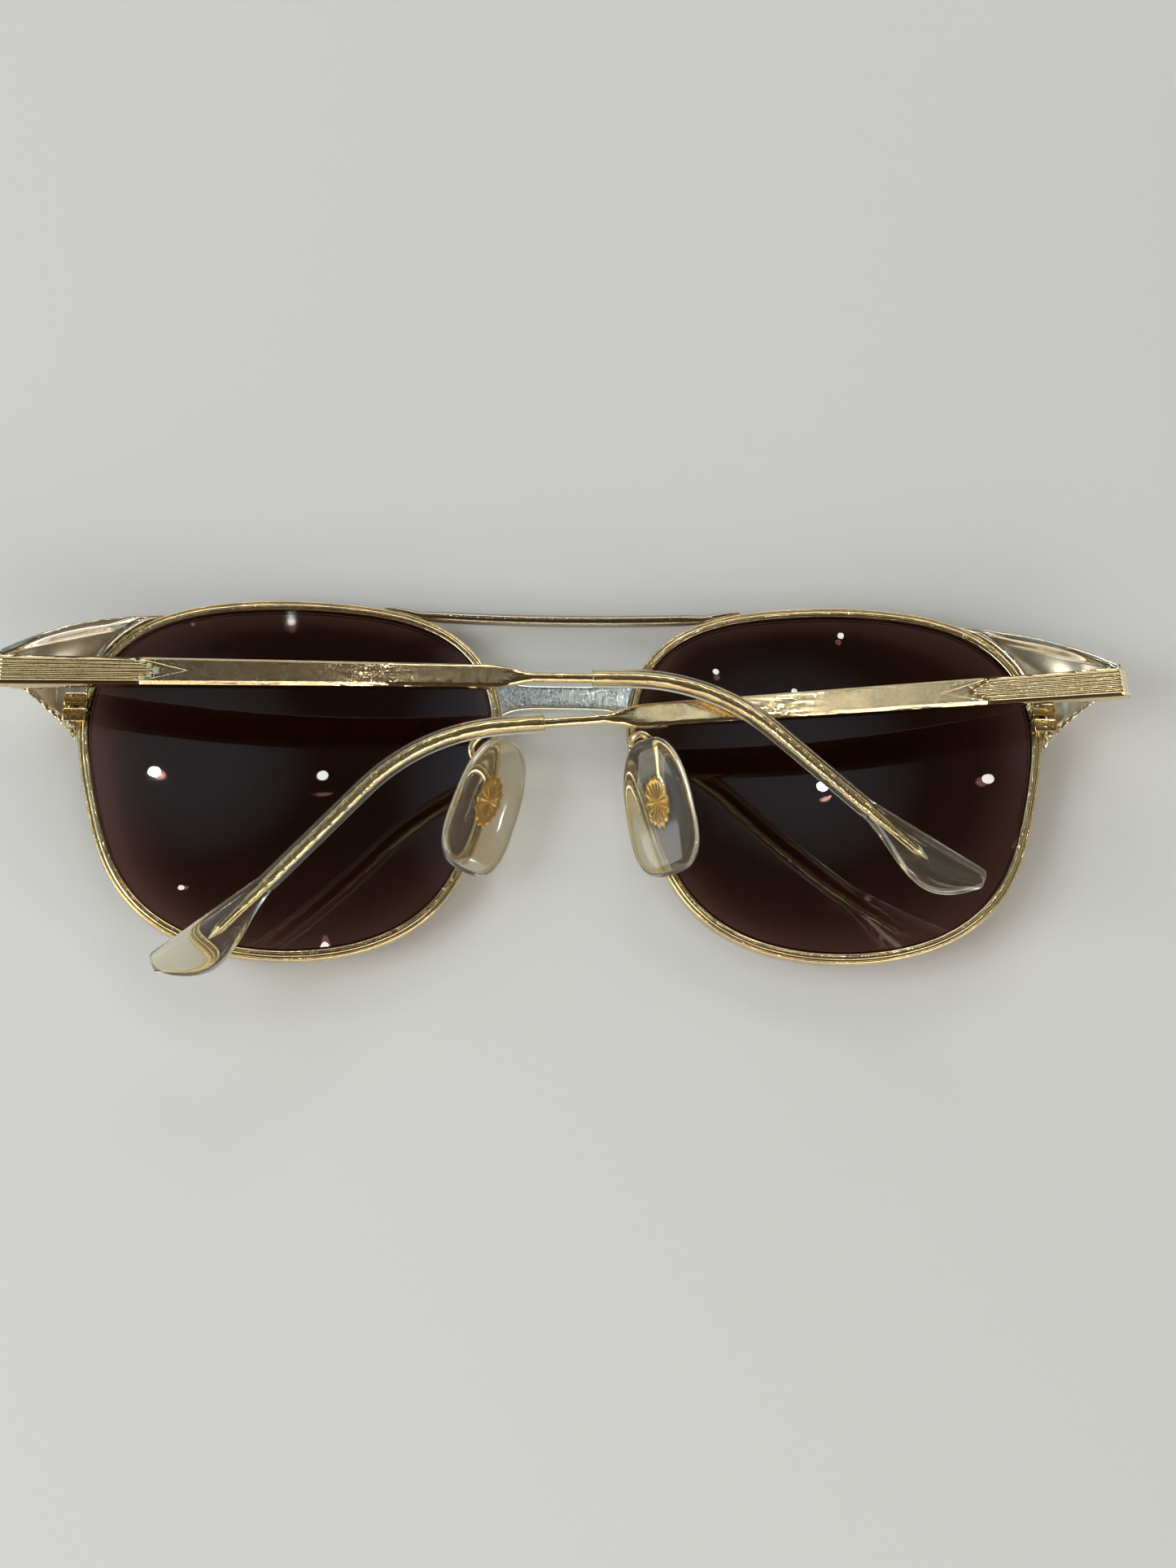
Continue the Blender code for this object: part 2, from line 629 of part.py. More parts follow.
def temple_rings(stations, side):
    """Rings across the temple's path. A station is length, half height, half thickness, power, shift."""
    middle = bar_inner() + BAR_THICK / 2
    rings = []
    for length, half_height, half_thick, power, shift in stations:
        along, up, bent = temple_path(length)
        section = rounded_section(half_height, half_thick, power)
        across = section[:, 0] + shift
        x = along + across * math.sin(bent)
        y = up + across * math.cos(bent)
        rings.append(np.column_stack((-side * x, y, middle + section[:, 1])))
    return rings


def round_station(length, radius):
    """A round section centred on the temple's path."""
    return length, radius, radius, 2, 0.0


def bar_station(length, height, thick):
    """A section of the flat bar, with eased corners."""
    return length, height / 2, thick / 2, BAR_POWER, 0.0


def bend_lengths():
    """Lengths from the hinge at which the bend over the ear is cut."""
    return np.linspace(BEND_START, BEND_START + BEND_RADIUS * BEND_ANGLE, 8)


def make_temple_bar(name, side, swing):
    neck = BAR_LENGTH + SHOULDER_LENGTH
    core_end = TEMPLE_LENGTH[name] - CORE_SHORT
    stations = [
        bar_station(-BAR_BUTT, BAR_HEIGHT - 2 * BAR_CHAMFER, BAR_THICK - 2 * BAR_CHAMFER),
        bar_station(-BAR_BUTT + BAR_CHAMFER, BAR_HEIGHT, BAR_THICK),
        bar_station(BAR_LENGTH / 2, BAR_HEIGHT * 0.55 + BAR_END_HEIGHT * 0.45, BAR_THICK),
        bar_station(BAR_LENGTH, BAR_END_HEIGHT, BAR_END_THICK),
    ]
    for share in (0.3, 0.6, 0.85):
        ease = share * share * (3 - 2 * share)
        height = BAR_END_HEIGHT / 2 + (CORE_RADIUS - BAR_END_HEIGHT / 2) * ease
        thick = BAR_END_THICK / 2 + (CORE_RADIUS - BAR_END_THICK / 2) * ease
        power = BAR_POWER + (2 - BAR_POWER) * share
        stations.append((BAR_LENGTH + SHOULDER_LENGTH * share, height, thick, power, 0.0))
    lengths = [neck, *bend_lengths(), core_end - CORE_POINT]
    stations += [round_station(length, CORE_RADIUS) for length in lengths]
    stations.append(round_station(core_end, CORE_RADIUS * 0.3))
    return add_object(f"{name}_temple_bar", loft(temple_rings(stations, side)), GOLD, swing)


def paddle_sides(share):
    """How far the teardrop stands above and below the path, at a share of its length."""
    above = TIP_RADIUS + PADDLE_ABOVE * share
    past = max(0.0, (share - PADDLE_ABOVE_FULL) / (1 - PADDLE_ABOVE_FULL))
    above -= (TIP_RADIUS + PADDLE_ABOVE - PADDLE_POINT) * past ** PADDLE_ABOVE_ROUND
    below = TIP_RADIUS + PADDLE_BELOW * float(smoothstep(share, 0.0, PADDLE_BELOW_FULL))
    past = max(0.0, (share - PADDLE_BELOW_FULL) / (1 - PADDLE_BELOW_FULL))
    below -= (TIP_RADIUS + PADDLE_BELOW + PADDLE_POINT) * past ** PADDLE_BELOW_ROUND
    return above, below


def make_temple_tip(name, side, swing):
    bore = CORE_RADIUS + TIP_BORE_CLEARANCE
    deep = TEMPLE_LENGTH[name] - CORE_SHORT + 2 * TIP_BORE_CLEARANCE
    bend = bend_lengths()
    inside = [round_station(deep, bore * 0.45), round_station(deep - CORE_POINT, bore)]
    inside += [round_station(length, bore) for length in (*bend[::-1], TIP_START)]
    outside = [round_station(TIP_START, TIP_RADIUS * 0.93)]
    outside += [round_station(length, TIP_RADIUS) for length in (TIP_START + TIP_CHAMFER, *bend)]
    for share in (0, 0.2, 0.4, 0.6, 0.74, 0.85, 0.93, 0.98, 1.0):
        length = TEMPLE_LENGTH[name] - PADDLE_LENGTH * (1 - share)
        above, below = paddle_sides(share)
        half = max((above + below) / 2, PADDLE_BLUNT)
        thick = TIP_RADIUS + (PADDLE_THICK - TIP_RADIUS) * share
        thick = min(thick, half)
        outside.append((length, half, thick, PADDLE_POWER, (above - below) / 2))
    rings = temple_rings(inside + outside, side)
    return add_object(f"{name}_temple_tip", loft(rings), CLEAR_PLASTIC, swing)


def make_temple(name, side, root):
    turn = (0, side * TEMPLE_LIFT[name], side * TEMPLE_DROP[name])
    swing = add_empty(f"{name}_temple_hinge", root, (side * HINGE_X, HINGE_UP, HINGE_Z), turn)
    make_hinge(name, side, root, swing)
    make_temple_bar(name, side, swing)
    make_temple_tip(name, side, swing)


def pad_place(name, side):
    """Middle of the pin on which the pad rocks."""
    return (side * (LENS_GAP / 2 + PAD_OUT[name]), PAD_UP, PAD_Z)


def pad_turn(name, side):
    return (0, -side * PAD_SPLAY, side * PAD_LEAN[name])


def pad_outline(scale, height, steps=24):
    """Egg-shaped ring of the nose pad, narrower at the top."""
    angle = np.linspace(0, 2 * math.pi, steps, endpoint=False)
    ring = rounded_section(1.0, 1.0, PAD_POWER, steps)
    up = ring[:, 1] * PAD_LENGTH / 2 * scale
    across = ring[:, 0] * PAD_WIDTH / 2 * scale * (1 - PAD_TAPER * np.sin(angle))
    return np.column_stack((across, up - PAD_MIDDLE, np.full(steps, height)))


def oval(half_width, half_length, height, steps=24):
    ring = rounded_section(half_width, half_length, 2, steps)
    return np.column_stack((ring, np.full(steps, height)))


def make_nose_pad(name, swing):
    low, high = PAD_BACK, PAD_BACK + PAD_THICK
    wide = INSERT_WIDTH / 2 + INSERT_CLEARANCE
    long = INSERT_LENGTH / 2 + INSERT_CLEARANCE
    rings = [
        oval(wide, long, low + INSERT_POCKET),
        oval(wide, long, low),
        pad_outline(0.82, low),
        pad_outline(0.96, low + 0.12 * PAD_THICK),
        pad_outline(1.0, low + 0.4 * PAD_THICK),
        pad_outline(0.95, low + 0.72 * PAD_THICK),
        pad_outline(0.78, low + 0.92 * PAD_THICK),
        pad_outline(0.4, high),
    ]
    return add_object(f"{name}_nose_pad", loft(rings), CLEAR_PLASTIC, swing)


def make_pad_insert(name, swing):
    top = PAD_BACK + INSERT_POCKET - INSERT_CLEARANCE
    wide, long = INSERT_WIDTH / 2, INSERT_LENGTH / 2
    rings = [
        oval(wide, long, top - INSERT_THICK),
        oval(wide, long, top - INSERT_CHAMFER),
        oval(wide - INSERT_CHAMFER, long - INSERT_CHAMFER, top),
    ]
    insert = add_object(f"{name}_pad_insert", loft(rings), GOLD, swing)
    root_z = top - INSERT_THICK / 2
    angle = np.linspace(math.pi, 2 * math.pi, 9)
    profile = np.column_stack((LUG_RADIUS * np.cos(angle), LUG_RADIUS * np.sin(angle)))
    profile = np.vstack((profile, (LUG_RADIUS, root_z), (-LUG_RADIUS, root_z)))
    rings = [np.column_stack((np.full(len(profile), x), profile)) for x in (-LUG_HALF, LUG_HALF)]
    add_cutter(f"{name}_pad_lug", loft(rings), insert, "UNION")
    hole = PIN_RADIUS + PIN_CLEARANCE
    add_cutter(f"{name}_pad_lug_hole", turned(((-MM, hole), (MM, hole)), "X", 12), insert, "DIFFERENCE")


def box_base():
    """Underside of the pad box, below the pin."""
    return -LUG_RADIUS - EAR_GAP - BOX_FLOOR


def make_pad_box(name, seat):
    inner = LUG_HALF + EAR_GAP
    outer = inner + EAR_THICK
    base = box_base()
    floor = base + BOX_FLOOR
    top = LUG_RADIUS * 0.75
    right_half = ((outer, base), (outer, top), (inner, top), (inner, floor))
    profile = right_half + tuple((-x, z) for x, z in reversed(right_half))
    rings = [[(x, y, z) for x, z in profile] for y in (-BOX_HALF, BOX_HALF)]
    holder = add_object(f"{name}_pad_box", loft(rings), GOLD, seat)
    hole = PIN_RADIUS + PIN_CLEARANCE
    bore = turned(((-outer - MM, hole), (outer + MM, hole)), "X", 12)
    add_cutter(f"{name}_pad_box_bore", bore, holder, "DIFFERENCE")
    reach = outer + PIN_PROUD
    pin = turned(((-reach, PIN_RADIUS), (reach, PIN_RADIUS)), "X", 12)
    add_object(f"{name}_pad_pin", pin, STEEL, seat)


def smooth_route(points, steps=5):
    """A Catmull-Rom curve through hand-set points."""
    points = [Vector(p) for p in points]
    padded = [points[0] * 2 - points[1]] + points + [points[-1] * 2 - points[-2]]
    route = []
    for a, b, c, d in zip(padded, padded[1:], padded[2:], padded[3:]):
        for step in range(steps):
            t = step / steps
            route.append(0.5 * (2 * b + (c - a) * t + (2 * a - 5 * b + 4 * c - d) * t ** 2
                                + (3 * b - a - 3 * c + d) * t ** 3))
    return route + [points[-1]]


def make_pad_arm(name, side, root):
    """A wire from the back of the rim, looped outwards, into the top of the pad box."""
    rim_x = float(rim_edge_x(ARM_UP, False, RIM_WIDTH * 0.5))
    rim_back = float(lens_front(rim_x, ARM_UP)) + LENS_THICK / 2 + RIM_DEPTH / 2
    place = Matrix.Translation(pad_place(name, side)) @ Euler(pad_turn(name, side)).to_matrix().to_4x4()
    middle = (box_base() + BOX_FLOOR / 2) * 0.9
    entry = place @ Vector((0, BOX_HALF + SEAT_GAP, middle))
    before = place @ Vector((0, BOX_HALF + ARM_LEAD, middle))
    points = [
        (side * rim_x, ARM_UP, rim_back + SEAT_GAP),
        (side * rim_x, ARM_UP, rim_back + ARM_RISE * 0.6),
        (side * (rim_x + ARM_LOOP_OUT * 0.45), ARM_UP + ARM_BUMP, rim_back + ARM_RISE),
        (side * (rim_x + ARM_LOOP_OUT), ARM_LOOP_UP, rim_back + ARM_RISE * 0.85),
        before,
        entry,
    ]
    data = bpy.data.curves.new(f"{name}_pad_arm", "CURVE")
    data.dimensions = "3D"
    data.bevel_depth = ARM_RADIUS
    data.bevel_resolution = 2
    data.use_fill_caps = True
    route = smooth_route(points)
    spline = data.splines.new("POLY")
    spline.points.add(len(route) - 1)
    for point, place_at in zip(spline.points, route):
        point.co = (*place_at, 1)
    data.materials.append(material(f"{name}_pad_arm", GOLD))
    arm = bpy.data.objects.new(f"{name}_pad_arm", data)
    bpy.context.collection.objects.link(arm)
    arm.parent = root


def make_pad(name, side, root):
    place, turn = pad_place(name, side), pad_turn(name, side)
    seat = add_empty(f"{name}_pad_seat", root, place, turn)
    swing = add_empty(f"{name}_pad_rock", root, place, turn)
    make_pad_arm(name, side, root)
    make_pad_box(name, seat)
    make_nose_pad(name, swing)
    make_pad_insert(name, swing)


def main():
    clear_scene()
    root = add_empty("front", None, (0, FRAME_Y, 0))
    make_brow_bar(root)
    make_bridge(root)
    for name, side in SIDES.items():
        make_eyewire(name, side, root)
        make_lens(name, side, root)
        make_end_piece(name, side, root)
        make_closing(name, side, root)
        make_temple(name, side, root)
        make_pad(name, side, root)


main()
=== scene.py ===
"""Folded metal sunglasses: the finished surfaces over their packed frame.

Every piece is worked out for the wearer's right side in the frame's metres, +X to the wearer's right,
+Y up on the face and +Z from the lenses to the face, and mirrored for the left side.
"""
import json
import math

import bpy
import numpy as np
from mathutils import Euler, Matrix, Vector


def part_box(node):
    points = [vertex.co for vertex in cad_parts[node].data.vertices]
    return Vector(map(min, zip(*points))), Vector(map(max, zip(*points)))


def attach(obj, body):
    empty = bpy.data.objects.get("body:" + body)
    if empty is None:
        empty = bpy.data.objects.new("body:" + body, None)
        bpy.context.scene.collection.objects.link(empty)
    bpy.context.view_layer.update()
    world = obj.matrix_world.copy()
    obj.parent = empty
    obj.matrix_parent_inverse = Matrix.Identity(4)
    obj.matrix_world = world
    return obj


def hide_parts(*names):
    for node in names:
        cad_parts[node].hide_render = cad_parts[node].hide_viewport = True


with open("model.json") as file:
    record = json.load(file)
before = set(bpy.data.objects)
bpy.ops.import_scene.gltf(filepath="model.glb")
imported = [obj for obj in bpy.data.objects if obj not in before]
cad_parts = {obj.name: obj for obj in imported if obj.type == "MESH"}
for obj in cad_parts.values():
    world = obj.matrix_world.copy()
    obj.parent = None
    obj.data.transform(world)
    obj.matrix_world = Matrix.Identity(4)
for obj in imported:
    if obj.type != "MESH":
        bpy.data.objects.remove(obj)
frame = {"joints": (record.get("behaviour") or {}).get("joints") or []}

bl_info = {
    "name": "Folded metal sunglasses",
    "version": (1, 0, 0),
    "blender": (4, 5, 0),
    "location": "3D View > Sidebar > Sunglasses",
    "description": "Builds the finished surfaces of folded metal sunglasses over their packed frame",
    "category": "Object",
}

MM = 0.001
TAU = 2 * math.pi
SIDES = {"left": -1, "right": 1}
JOINTS = {joint["name"]: joint for joint in frame["joints"]}
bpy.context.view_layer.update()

# Relative radius of the lens shape at each twelfth of a turn, from the temple side up over the brow.
LENS_SHAPE = (25.3, 27.8, 25.2, 23.2, 25.3, 28.0, 24.8, 24.4, 24.2, 23.2, 24.3, 24.9)
LENS_BEVEL = 0.45 * MM
SEAT_GAP = 0.12 * MM
BLACK = (0.0, 0.0, 0.0, 1.0)
HINGE = np.array(JOINTS["right_temple_hinge"]["pos_m"])
# Ceiling spots a metre up: place across, place away from the camera, and diameter.
CEILING_SPOTS = (
    (0.16, 0.42, 0.018), (-0.10, 0.41, 0.018), (-0.04, 0.13, 0.012), (0.11, 0.14, 0.010),
    (-0.13, 0.80, 0.020), (0.11, 0.67, 0.010), (0.19, 0.24, 0.010), (0.32, 0.22, 0.010),
)
SPOT_HEIGHT = 1.0
# The ring of low spots: its radius, the heights that they take in turn, and their diameter.
RING_RADIUS = 0.8
RING_HEIGHTS = (0.42, 0.56, 0.70)
RING_SPOT = 0.03
# Points across a temple bar's outer face.
FACE_POINTS = 97
# Lit patches of the surroundings: direction, angle at which they start to fade, and angle at which they end.
CEILING_GLOW = ((0.155, 0.345, 0.926), math.radians(4), math.radians(12))
SIDE_GLOW = ((-0.50, 0.34, 0.80), math.radians(6), math.radians(20))


def length(name, description, millimetres):
    return bpy.props.FloatProperty(
        name=name, description=description, default=millimetres * MM, unit="LENGTH", precision=5
    )


def angle(name, description, degrees):
    return bpy.props.FloatProperty(
        name=name, description=description, default=math.radians(degrees), unit="ROTATION"
    )


def amount(name, description, value):
    return bpy.props.FloatProperty(name=name, description=description, default=value, min=0.0)


def count(name, description, value):
    return bpy.props.IntProperty(name=name, description=description, default=value, min=1)


def colour(name, description, value):
    return bpy.props.FloatVectorProperty(
        name=name, description=description, default=value, subtype="COLOR", size=3, min=0.0, max=1.0
    )


class FrontSizes(bpy.types.PropertyGroup):
    """Lenses, eyewires, brow bar, bridge, end pieces and closing blocks."""

    lens_thick: length("Lens thickness", "Thickness of the glass", 2.0)
    lens_curve: length("Lens curve", "Radius of the lens faces", 120.0)
    lens_edge_gap: length("Lens edge gap", "Gap between the glass and the eyewire", 0.15)
    rest_in: length("Rest inset", "Resting point's distance inside the lens middle", 3.7)
    rest_up: length("Rest height", "Resting point's height above the lens middle", 4.7)
    rest_radius: length("Rest radius", "Radius of the resting flat", 5.0)
    rim_width: length("Rim width", "Width of the eyewire, seen from behind", 1.35)
    rim_depth: length("Rim depth", "Depth of the eyewire from front to back", 1.9)
    groove_depth: length("Groove depth", "Depth of the lens groove", 0.75)
    groove_half: length("Groove half width", "Half of the lens groove's width", 0.7)
    split_up: length("Split height", "Height of the eyewire's split above the lens middle", 8.1)
    split_gap: length("Split gap", "Gap of the eyewire's split", 0.4)
    brow_radius: length("Brow bar radius", "Radius of the brow bar at its middle", 0.78)
    brow_tip_radius: length("Brow bar tip radius", "Radius of the brow bar's ends", 0.28)
    brow_below_top: length("Brow bar drop", "The bar's middle below the top of the lens", 0.4)
    brow_rise: length("Brow bar rise", "How far the bar rises towards its ends", 0.2)
    brow_low: length("Brow bar height", "The bar's middle above the resting plane", 1.3)
    brow_back: length("Brow bar sweep", "How far the ends are swept back", 1.4)
    brow_taper_from: length("Brow bar taper start", "Where the bar starts to taper", 15.0)
    bridge_edge: length("Bridge edge", "Radius of the bridge plate's edges", 0.35)
    bridge_flare: length("Bridge flare", "How far the plate widens at the rims", 1.0)
    end_low: angle("End piece lower angle", "Where the lower edge meets the rim", 8.8)
    end_high: angle("End piece upper angle", "Where the upper edge meets the rim", 51.0)
    end_tip: length("End piece tip", "How far the end piece reaches past the hinge", 2.9)
    end_tip_low: length("End piece tip foot", "Tip's lower corner below the hinge", 0.9)
    end_tip_high: length("End piece tip head", "Tip's upper corner above the hinge", 3.3)
    end_thick: length("End piece thickness", "Thickness of the pressing", 0.7)
    end_lip: length("End piece border", "Height of the raised upper border", 0.8)
    end_border: length("Border radius", "Half width of the raised upper border", 0.6)
    end_ridge: length("Ridge radius", "Half width of the ridge beside the rim", 0.36)
    end_foot_lip: length("Foot border", "Height of the notched lower border", 0.55)
    end_foot_border: length("Foot border radius", "Half width of the lower border", 0.36)
    end_lead_left: amount("Left crank lead", "How much earlier the left end piece rises along its top", 0.30)
    end_lead_right: amount("Right crank lead", "How much earlier the right one rises along its top", 0.12)
    end_step: length("Tip step", "Distance of the step from the tip", 2.2)
    end_step_lip: length("Tip step height", "Height of the step by the tip", 0.4)
    end_notch: length("Foot notches", "Spacing of the notches on the lower border", 0.85)
    block_width: length("Closing block width", "Width of a closing block", 1.7)
    block_height: length("Closing block height", "Height of a closing block", 1.7)
    block_depth: length("Closing block depth", "Depth of a closing block", 1.9)
    block_lift: length("Closing block lift", "Gap between a block and the end piece", 0.3)
    block_overlap: length("Closing block overlap", "How far a block reaches over the rim", 1.25)
    block_edge: length("Closing block edge", "Radius of a block's edges", 0.16)
    screw_radius: length("Closing screw radius", "Radius of the closing screw", 0.45)
    screw_head: length("Closing screw head", "Radius of the closing screw's head", 0.72)
    screw_head_height: length("Closing screw head height", "Height of that head", 0.6)


class HingeSizes(bpy.types.PropertyGroup):
    """Hinge leaves and screws."""

    radius: length("Knuckle radius", "Radius of the hinge knuckles", 1.15)
    height: length("Hinge height", "Height of the hinge along its axis", 3.4)
    middle: length("Middle knuckle", "Height of the temple's knuckle", 1.3)
    play: length("Play", "Gap between the knuckles", 0.12)
    bore: length("Bore", "Radius of the hole through the knuckles", 0.6)
    leaf_thick: length("Leaf thickness", "Thickness of the leaf on the temple", 0.5)
    front_thick: length("Front leaf thickness", "Thickness of the leaf on the end piece", 1.0)
    front_leaf: length("Front leaf length", "Length of the leaf on the end piece", 3.4)
    temple_leaf: length("Temple leaf length", "Length of the leaf on the temple", 5.5)
    screw_radius: length("Screw radius", "Radius of the hinge screw", 0.54)
    head_radius: length("Screw head", "Radius of the hinge screw's head", 0.95)
    head_height: length("Screw head height", "Height of that head", 0.35)
    edge: length("Edge", "Size of the eased edges", 0.12)


class TempleSizes(bpy.types.PropertyGroup):
    """Temple bars and their clear tips."""

    left_lift: angle("Left lift", "How far the left temple is bent away from the lenses", 1.45)
    offset: length("Bar offset", "The bar's middle below the middle of the hinge", 1.0)
    butt: length("Butt", "The bar's end beyond the hinge axis", 2.2)
    height: length("Bar height", "Height of the bar at the hinge", 3.9)
    end_height: length("Bar end height", "Height of the bar before its shoulder", 3.0)
    thick: length("Bar thickness", "Thickness of the bar at the hinge", 1.8)
    end_thick: length("Bar end thickness", "Thickness of the bar before its shoulder", 1.5)
    bevel: length("Bar bevel", "Width of the bevels along the outer face", 0.42)
    bar_length: length("Bar length", "Length of the flat bar from the hinge", 61.0)
    shoulder: length("Shoulder", "Length of the taper from bar to wire", 5.0)
    core_radius: length("Core radius", "Radius of the core wire", 0.65)
    core_short: length("Core end", "Distance of the core's point from the tip's end", 7.3)
    core_point: length("Core point", "Length of the core's tapered point", 2.0)
    flutes: count("Flutes", "Number of ribs on the outer face by the hinge", 6)
    flute_depth: length("Flute depth", "Depth of the grooves between the ribs", 0.24)
    flute_end: length("Flute length", "Where the longest flutes end", 18.4)
    flute_stagger: length("Flute stagger", "How much shorter each outer flute is", 0.9)
    flute_tip: length("Rib tip", "Length of a rib's rounded end", 0.9)
    arrow_end: length("Arrow end", "Where the two cut lines past the flutes meet", 22.3)
    butt_bevel: length("Butt bevel", "Length of the notched bevel at the bar's end", 1.0)
    tip_start: length("Tip start", "Where the clear tip starts", 72.8)
    tip_radius: length("Tip radius", "Radius of the clear tip", 1.2)
    bend_start: length("Bend start", "Where the bend over the ear starts", 77.9)
    bend_radius: length("Bend radius", "Radius of the bend over the ear", 26.8)
    bend_angle: angle("Bend angle", "Angle of the bend over the ear", 41.9)
    left_length: length("Left length", "Length of the left temple from the hinge", 129.3)
    right_length: length("Right length", "Length of the right temple from the hinge", 131.4)
    paddle: length("Paddle length", "Length of the tip's teardrop end", 17.0)
    paddle_above: length("Paddle swell above", "How far the end swells above its path", 2.8)
    paddle_below: length("Paddle swell below", "How far the end swells below its path", 2.1)
    paddle_point: length("Paddle point", "Height above the path at which the end closes", 1.8)
    paddle_thick: length("Paddle half thickness", "Half of the tip's thickness at its end", 0.85)


class PadSizes(bpy.types.PropertyGroup):
    """Nose pads, their inserts, boxes and arms."""

    height: length("Pad length", "Length of a pad", 18.3)
    width: length("Pad width", "Width of a pad", 9.2)
    taper: amount("Pad taper", "How much narrower a pad is at the top", 0.14)
    power: amount("Pad squareness", "2 is an oval pad, a higher power a squarer one", 2.8)
    thick: length("Pad thickness", "Thickness of a pad", 2.4)
    back: length("Pad back", "The pad's back above its pin", 1.0)
    drop: length("Pad drop", "The pad's middle below its pin", 0.5)
    insert_height: length("Insert length", "Length of the gold insert", 6.8)
    insert_width: length("Insert width", "Width of the gold insert", 3.2)
    insert_thick: length("Insert thickness", "Thickness of the gold insert", 0.5)
    insert_depth: length("Insert depth", "The insert's face above the pad's back", 0.8)
    scallops: count("Scallops", "Number of scallops round the insert", 14)
    lug_half: length("Lug half width", "Half of the lug's width", 0.45)
    lug_radius: length("Lug radius", "Radius of the lug's round end", 0.75)
    pin_radius: length("Pin radius", "Radius of the pin", 0.3)
    pin_proud: length("Pin overhang", "How far the pin stands out of the box", 0.1)
    ear: length("Box wall", "Thickness of the box's walls", 0.4)
    ear_gap: length("Box gap", "Gap between the lug and the box", 0.1)
    box_half: length("Box half length", "Half of the box's length", 1.0)
    arm_radius: length("Arm radius", "Radius of the arm's wire", 0.48)
    arm_up: length("Arm height", "Where the arm leaves the rim, above the lens middle", 5.2)
    arm_rise: length("Arm rise", "How far the arm stands off the rim", 1.6)
    arm_loop_out: length("Arm loop reach", "How far the arm's loop swings outwards", 3.2)
    arm_loop_up: length("Arm loop height", "Height of the loop above the lens middle", 3.3)
    arm_lead: length("Arm lead", "Straight lead into the box", 2.2)


class Finishes(bpy.types.PropertyGroup):
    """Colours of the finishes."""

    gold: colour("Gold plate", "Colour of the plating", (0.85, 0.70, 0.40))
    worn: colour("Worn plate", "Colour where the plating has worn thin", (0.60, 0.48, 0.32))
    pale: colour("Pale gold", "Colour of the end pieces' borders", (0.86, 0.80, 0.64))
    # Painted reflection: a pale, cool, silvery copy of the plating for the bridge, standing in for the cool
    # white light that it mirrors.
    bridge_sheen: colour("Bridge plate", "Colour of the bridge, worn to a silvery tone", (0.85, 0.90, 0.87))
    sand: colour("Sandy gold", "Colour of the end pieces' satin floor", (0.56, 0.47, 0.33))
    insert: colour("Insert gold", "Colour of the pads' inserts", (0.66, 0.40, 0.09))
    tarnish: colour("Tarnish", "Colour of the specks on the temples' flats", (0.46, 0.33, 0.21))
    # Painted highlight: a pale, nearly white gold for the temples' notched ends, standing in for their glint.
    notch_highlight: colour("Fresh gold", "Colour of the temples' unworn notched ends", (0.98, 0.92, 0.68))
    # Painted shade: a darker copy of the plating for the brow bar, standing in for the dark ceiling that it
    # mirrors.
    brow_shade: colour("Smoked gold", "Colour of the dulled brow bar", (0.46, 0.42, 0.32))
    # Painted shade: the dark colour laid into the grooves between the ribs.
    groove_shade: colour("Grime", "Colour of the dirt in the grooves", (0.10, 0.075, 0.045))
    steel: colour("Screw", "Colour of the screws", (0.66, 0.58, 0.44))
    glass: colour("Lens tint", "Colour of the glass", (0.15, 0.068, 0.06))
    plastic: colour("Clear plastic", "Colour of the tips and pads", (0.94, 0.92, 0.80))
    aged: colour("Aged plastic", "Colour where the plastic has yellowed", (0.90, 0.83, 0.58))


class StageSettings(bpy.types.PropertyGroup):
    """Floor, lamps and camera."""

    floor: colour("Floor", "Colour of the floor", (0.82, 0.83, 0.82))
    key: amount("Key lamp", "Power of the key lamp in watts", 2.6)
    fill: amount("Fill lamp", "Power of the fill lamp in watts", 1.5)
    near_lamp: amount("Near lamp", "Power of the wide lamp behind the camera in watts", 2.2)
    back: amount("Back lamp", "Power of the back lamp in watts", 0.9)
    low_spots: count("Low spots", "Number of small lamps all round", 11)
    low_spot: amount("Low spot", "Power of each small lamp in watts", 0.10)
    spots: amount("Ceiling spots", "Power of each ceiling spot in watts", 0.015)
    first_spot: amount("First spot", "How much stronger the first ceiling spot is", 9.0)
    world: amount("World", "Strength of the surroundings", 1.0)
    backdrop: colour("Backdrop", "Colour of the far floor and of what stands behind it", (0.60, 0.60, 0.58))
    near: colour("Near side", "Colour of the surroundings behind the camera", (0.30, 0.29, 0.27))
    left: colour("Left side", "Colour of the surroundings on the left", (0.24, 0.30, 0.32))
    right: colour("Right side", "Colour of the surroundings on the right", (0.24, 0.17, 0.10))
    ceiling: colour("Ceiling", "Colour of the surroundings overhead", (0.075, 0.055, 0.038))
    glow: colour("Ceiling glow", "Colour of the lit patch of ceiling", (0.30, 0.36, 0.38))
    side_glow: colour("Side glow", "Colour of the lit patch on the left", (0.42, 0.62, 0.75))
    focal: amount("Focal length", "Focal length for a frame 36 mm on its long side", 54.18)
    place: bpy.props.FloatVectorProperty(
        name="Camera place", description="Where the camera stands", subtype="TRANSLATION",
        default=(-0.0130, -0.0936, 0.2911),
    )
    turn: bpy.props.FloatVectorProperty(
        name="Camera turn", description="Direction of the camera", subtype="EULER",
        default=(0.318817, -0.053364, -0.007369),
    )


# Shared shapes


def ease(value, low, high):
    """Zero below low, one above high, and 3t² - 2t³ between them."""
    t = np.clip((np.asarray(value, float) - low) / (high - low), 0, 1)
    return t * t * (3 - 2 * t)


def oval(half_width, half_height, points, power=2.0):
    """Superellipse: cosine and sine raised to 2/power, so power 2 is an ellipse and 8 nearly a rectangle."""
    turn = np.linspace(0, TAU, points, endpoint=False)
    across, over = np.cos(turn), np.sin(turn)
    x = half_width * np.sign(across) * np.abs(across) ** (2 / power)
    y = half_height * np.sign(over) * np.abs(over) ** (2 / power)
    return np.stack((x, y), -1)


